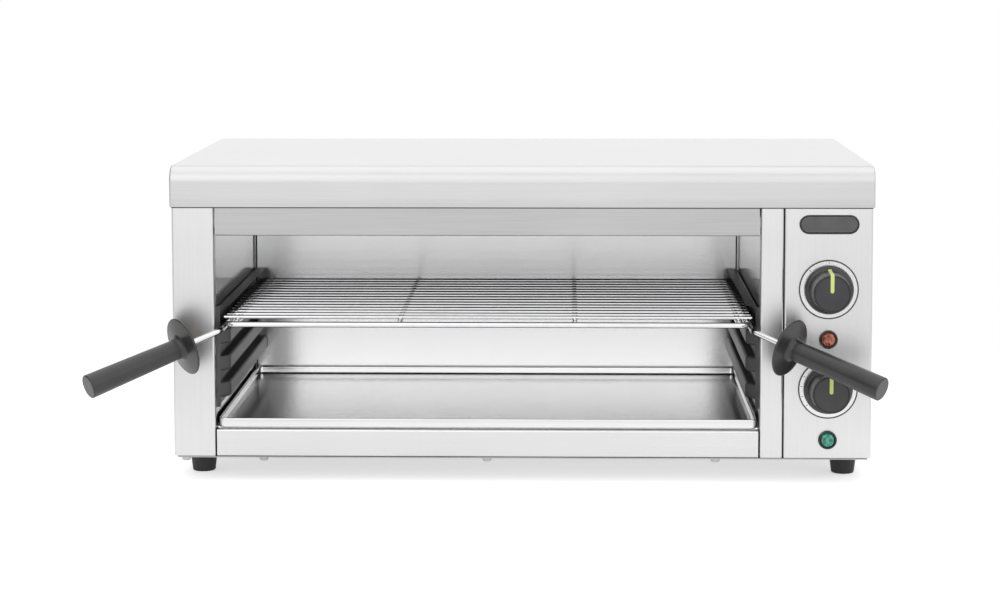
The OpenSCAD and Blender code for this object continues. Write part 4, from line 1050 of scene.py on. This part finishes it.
@dataclass
class Lamp:
    """Snap-in indicator lamp: glossy bezel with its tabs, and a tinted lens."""

    name: str
    z: float
    lens: TintedLens
    outer_r: float = 8.1

    def build(self) -> None:
        """Build bezel, tabs and lens."""
        seat = on_panel(self.z)
        r = self.outer_r
        bezel = rounded([(0.0, -24.0), (r - 2.0, -24.0), (r - 2.0, 0.0), (r, 0.0), (r, 2.2), (r - 1.5, 2.7),
                         (r - 2.2, 0.7), (0.0, 0.7)], [0, 0.5, 0, 0.2, 0.9, 0.4, 0, 0], 6)
        tab = slab(pill(0.8, 4.8, 0.3, 3), -32.0, -23.9)
        tabs = tab.moved(*(placed((x, 0.0, 0.0)) for x in (-3.0, 3.0)))
        turned(bezel, 72).add(tabs).moved(seat).piece(f"{self.name}_bezel", LAMP_NYLON, f"{self.name}_body")
        inner = r - 2.3
        dome = [(0.0, 0.75), (inner, 0.75), (inner, 1.9)]
        dome += [(inner * cos(a), 1.9 + 2.3 * sin(a)) for a in (0.2, 0.45, 0.7, 0.9)]
        dome += [(inner * share, z) for share, z in ((0.56, 4.1), (0.5, 4.75), (0.42, 4.75), (0.36, 4.2),
                                                     (0.16, 4.1), (0.12, 4.5), (0.0, 4.55))]
        turned(dome, 64).moved(seat).piece(
            f"{self.name}_domed_lens", self.lens, f"{self.name}_lens", crease=60)


@dataclass
class Badge:
    """Bare pill-shaped plate with a raised rim."""

    width: float = 52.0
    height: float = 17.0
    z: float = 226.5
    thick: float = 1.2

    def layer(self, steps: Sequence[tuple[float, float]]) -> Shape:
        """Return a pill-shaped layer, raised along steps of inset and depth under the rim's top."""
        rings = []
        for inset, depth in steps:
            outline = pill(self.width - 2 * inset, self.height - 2 * inset, self.height / 2 - inset, 14)
            rings.append([Vector((p.x, p.y, self.thick - depth)) for p in outline])
        return loft(rings).moved(on_panel(self.z))

    def build(self) -> None:
        """Build the bare plate, its black rim and its grey face."""
        self.layer([(0.0, self.thick), (0.0, 0.35), (0.2, 0.15)]).piece(
            "bare_badge_plate", DIAL_ALUMINIUM, "badge_plate", crease=40)
        self.layer([(0.2, 0.3), (0.2, 0.1), (0.35, 0.0), (2.0, 0.0), (2.2, 0.2)]).piece(
            "black_badge_rim", BADGE_BLACK, crease=40)
        self.layer([(2.1, 0.3), (2.2, 0.13), (2.4, 0.1)]).piece("grey_badge_face", BADGE_ENAMEL, crease=40)


@dataclass
class CableGland:
    """Strain relief in the rear panel: hexagon and ribbed clamping cap."""

    z: float = 61.0
    bore_r: float = 5.0
    thread_r: float = 7.5
    length: float = 20.0
    hex_r: float = 10.5
    hex_h: float = 5.0
    ribs: int = 18

    def build(self) -> None:
        """Build body, hexagon and ribs."""
        bore, thread, end = self.bore_r, self.thread_r, self.length
        tube = rounded([(bore, -9.0), (thread, -9.0), (thread, 0.2), (10.0, 0.2), (10.0, 5.0), (9.1, 5.0),
                        (9.1, 15.0), (7.0, end), (bore, end), (bore, -9.0)],
                       [0, 0.3, 0, 0, 0.3, 0, 1.2, 0.8, 0.4, 0], 4)
        shape = turned(tube, 72)
        flats = [(self.hex_r * cos(a), self.hex_r * sin(a)) for a in angles(6)]
        shape.add(slab(rounded(flats, 0.8, 3, closed=True), 0.0, self.hex_h))
        rib = slab([(8.8, -0.45), (9.5, -0.3), (9.5, 0.3), (8.8, 0.45)], 6.0, 14.2)
        shape.add(rib.moved(*(Matrix.Rotation(a, 4, "Z") for a in angles(self.ribs))))
        shape.moved(placed((CONTROL_X, BACK_Y, self.z), -90)).piece(
            "ribbed_cable_gland", GLAND_NYLON, "cable_gland", crease=40)


# ---- Stage ----


@dataclass
class Studio:
    """Pale floor, soft lamps and the camera."""

    camera_at: Point = (68.96, -2249.08, 456.60)
    pitch: float = 0.0845
    yaw: float = 0.0269
    roll: float = -0.0016
    focal_px: float = 2467.82
    image_w: float = 1000.0
    shift_y: float = -0.13
    # Name, place and aim in metres, width and height in metres, power in watts
    soft_boxes: tuple[tuple[str, Point, Point, Point, float], ...] = (
        ("key_soft_box", (-1.6, -2.0, 2.0), (0.0, 0.0, 0.1), (3.2, 2.8), 16.0),
        ("fill_soft_box", (2.1, -1.8, 1.3), (0.0, 0.0, 0.1), (2.4, 2.2), 9.0),
        ("top_soft_box", (0.1, 0.3, 2.4), (0.0, 0.0, 0.1), (3.4, 3.0), 22.0),
        ("front_high_soft_box", (0.0, -2.3, 1.45), (0.0, 0.0, 0.2), (3.2, 1.7), 8.0),
        ("rear_soft_box", (0.2, 2.6, 1.15), (0.0, 0.0, 0.25), (3.0, 1.0), 5.0),
        ("front_soft_box", (0.0, -1.9, 0.32), (0.0, 0.15, 0.14), (1.5, 0.36), 1.5),
    )

    def camera(self) -> None:
        """Set up the camera at the photograph's viewing angle."""
        data = bpy.data.cameras.new("studio_camera")
        data.sensor_width = 36.0
        data.lens = self.focal_px / self.image_w * data.sensor_width
        data.shift_y = self.shift_y
        data.clip_end = 50.0
        eye = shown("studio_camera", data)
        ahead = Vector((-sin(self.yaw) * cos(self.pitch), cos(self.yaw) * cos(self.pitch), -sin(self.pitch)))
        right = unit(ahead.cross(Vector((0, 0, 1))))
        up = right.cross(ahead)
        tilted = cos(self.roll) * right + sin(self.roll) * up
        upright = -sin(self.roll) * right + cos(self.roll) * up
        turn = Matrix((tilted, upright, -ahead)).transposed().to_4x4()
        eye.matrix_world = Matrix.Translation(Vector(self.camera_at) * MM) @ turn
        bpy.context.scene.camera = eye

    def lamps(self) -> None:
        """Hang the rectangular soft boxes."""
        for name, at, aim, size, power in self.soft_boxes:
            data = bpy.data.lights.new(name, "AREA")
            data.shape, data.size, data.size_y, data.energy = "RECTANGLE", size[0], size[1], power
            thing = shown(name, data)
            thing.location = at
            thing.rotation_euler = (Vector(aim) - Vector(at)).to_track_quat("-Z", "Y").to_euler()

    def seen(self, tree: Tree) -> Socket:
        """Return 1 for camera, mirror and glass rays and 0 for the rays that only carry light."""
        rays = add_node(tree, "LightPath").outputs
        return larger(tree, larger(tree, rays["Is Camera Ray"], rays["Is Glossy Ray"]),
                      rays["Is Transmission Ray"])

    def world(self) -> None:
        """Make the surroundings white, darker on the far left for mirrors, and an even pale light."""
        world = bpy.data.worlds.new("studio_world")
        world.use_nodes = True
        tree = world.node_tree
        tree.nodes.clear()
        light = add_node(tree, "Background", {"Color": WHITE, "Strength": 0.7})
        place = add_node(tree, "TexCoord")
        way = add_node(tree, "SeparateXYZ", {}, {0: place.outputs["Generated"]})
        side = add_node(tree, "MapRange", {"From Min": -0.9, "From Max": -0.3, "To Min": 0.15},
                        {"Value": way.outputs["X"]})
        path = add_node(tree, "LightPath")
        bright = larger(tree, side.outputs["Result"], path.outputs["Is Camera Ray"])
        white = add_node(tree, "Background", {"Color": WHITE}, {"Strength": bright})
        both = mixed(tree, self.seen(tree), light, white)
        add_node(tree, "OutputWorld", {}, {"Surface": both.outputs[0]})
        bpy.context.scene.world = world

    def floor(self) -> None:
        """Lay a white floor that keeps the object's shadow and turns into the background further out."""
        mesh = bpy.data.meshes.new("floor")
        work = bmesh.new()
        bmesh.ops.create_grid(work, x_segments=8, y_segments=8, size=6.0)
        work.to_mesh(mesh)
        work.free()
        ground = shown("studio_floor", mesh)
        material = bpy.data.materials.new("studio_floor_paint")
        material.use_nodes = True
        tree = material.node_tree
        tree.nodes.clear()
        place = add_node(tree, "TexCoord")
        far = add_node(tree, "VectorMath", {"operation": "LENGTH"}, {0: place.outputs["Object"]})
        fade = add_node(tree, "MapRange", {"From Min": 0.45, "From Max": 0.85},
                        {"Value": far.outputs["Value"]})
        paint = add_node(tree, "BsdfDiffuse", {"Color": linear("#e2e2e2")})
        lift = add_node(tree, "Emission", {"Color": WHITE, "Strength": 0.52})
        lit = add_node(tree, "AddShader", {}, {0: paint.outputs[0], 1: lift.outputs[0]})
        white = add_node(tree, "Emission", {"Color": WHITE, "Strength": 1.0})
        plain = add_node(tree, "BsdfDiffuse", {"Color": linear("#dcdcdc")})
        both = mixed(tree, self.seen(tree), plain, mixed(tree, fade.outputs[0], lit, white))
        add_node(tree, "OutputMaterial", {}, {"Surface": both.outputs[0]})
        mesh.materials.append(material)

    def build(self) -> None:
        """Set up the camera, the world, the floor and the lamps."""
        bpy.context.scene.view_settings.view_transform = "Standard"
        self.camera()
        self.world()
        self.floor()
        self.lamps()


# ---- Plain CAD nodes ----


def dress_nodes() -> None:
    """Give every CAD node that keeps its own shape its finish."""
    kept = {
        SIDE_STEEL: ("right_side_panel", "rear_panel"),
        BASE_STEEL: ("base_plate", "compartment_divider"),
        LINER_STEEL: ("cavity_back", "cavity_floor"),
        WALL_STEEL: ("cavity_wall_left", "cavity_wall_right"),
        CEILING_STEEL: ("ceiling_reflector", "element_brackets"),
        SCREW_STEEL: ("foot_screws", "switch_screws", "upper_spindle", "lower_spindle"),
        STEATITE: ("selector_switch", "thermostat", "terminal_block"),
        COPPER: ("thermostat_bulb",),
        GLAND_NYLON: ("gland_nut",),
    }
    finish_of = {node: finish for finish, nodes in kept.items() for node in nodes}
    by_slot = {finish.slot: finish for finish in (
        BRASS, RACK_CHROME, GRIP_PHENOLIC, KNOB_NYLON, POINTER_ABS, DIAL_ALUMINIUM, BADGE_ENAMEL, LAMP_NYLON,
        ORANGE_LENS, GREEN_LENS, FOOT_RUBBER, ELEMENT_SHEATH, TRAY_STEEL, GLAND_NYLON, STEATITE, SCREW_STEEL,
        COVER_STEEL, LINER_STEEL, BASE_STEEL, COPPER)}
    owner = {s["node"]: s["material_slot"] for s in frame["record"]["subparts"]}
    sheet = (SIDE_STEEL, BASE_STEEL, LINER_STEEL, WALL_STEEL, CEILING_STEEL)
    for name, node in frame["nodes"].items():
        finish = finish_of.get(name) or by_slot[owner[name]]
        node.data.materials.clear()
        node.data.materials.append(finish.material())
        node.data.shade_smooth()
        # A sheet's small folds stay faceted, so that they don't bend the light on the wide faces beside them
        node.data.set_sharp_from_angle(angle=radians(3 if finish in sheet else 30))
        log.info("%s: CAD node in %s", name, finish.name)


def main() -> None:
    """Build the stage, then the grill piece by piece."""
    logging.basicConfig(level=logging.INFO, format="%(name)s: %(message)s")
    Studio().build()
    dress_nodes()
    pieces = (
        Cover(), Casing(), Feet(), CavityFittings(), Rack(), Handle(-1), Handle(1),
        Knob("upper", 170.0, (0.0, 45.0)),
        Knob("lower", 83.0, (0.0, 40.0, 62.0, 84.0, 106.0, 128.0)),
        Lamp("heating_lamp", 126.5, ORANGE_LENS),
        Lamp("power_lamp", 38.5, GREEN_LENS),
        Badge(), CableGland(),
    )
    for piece in pieces:
        piece.build()


if __name__ == "__main__":
    main()
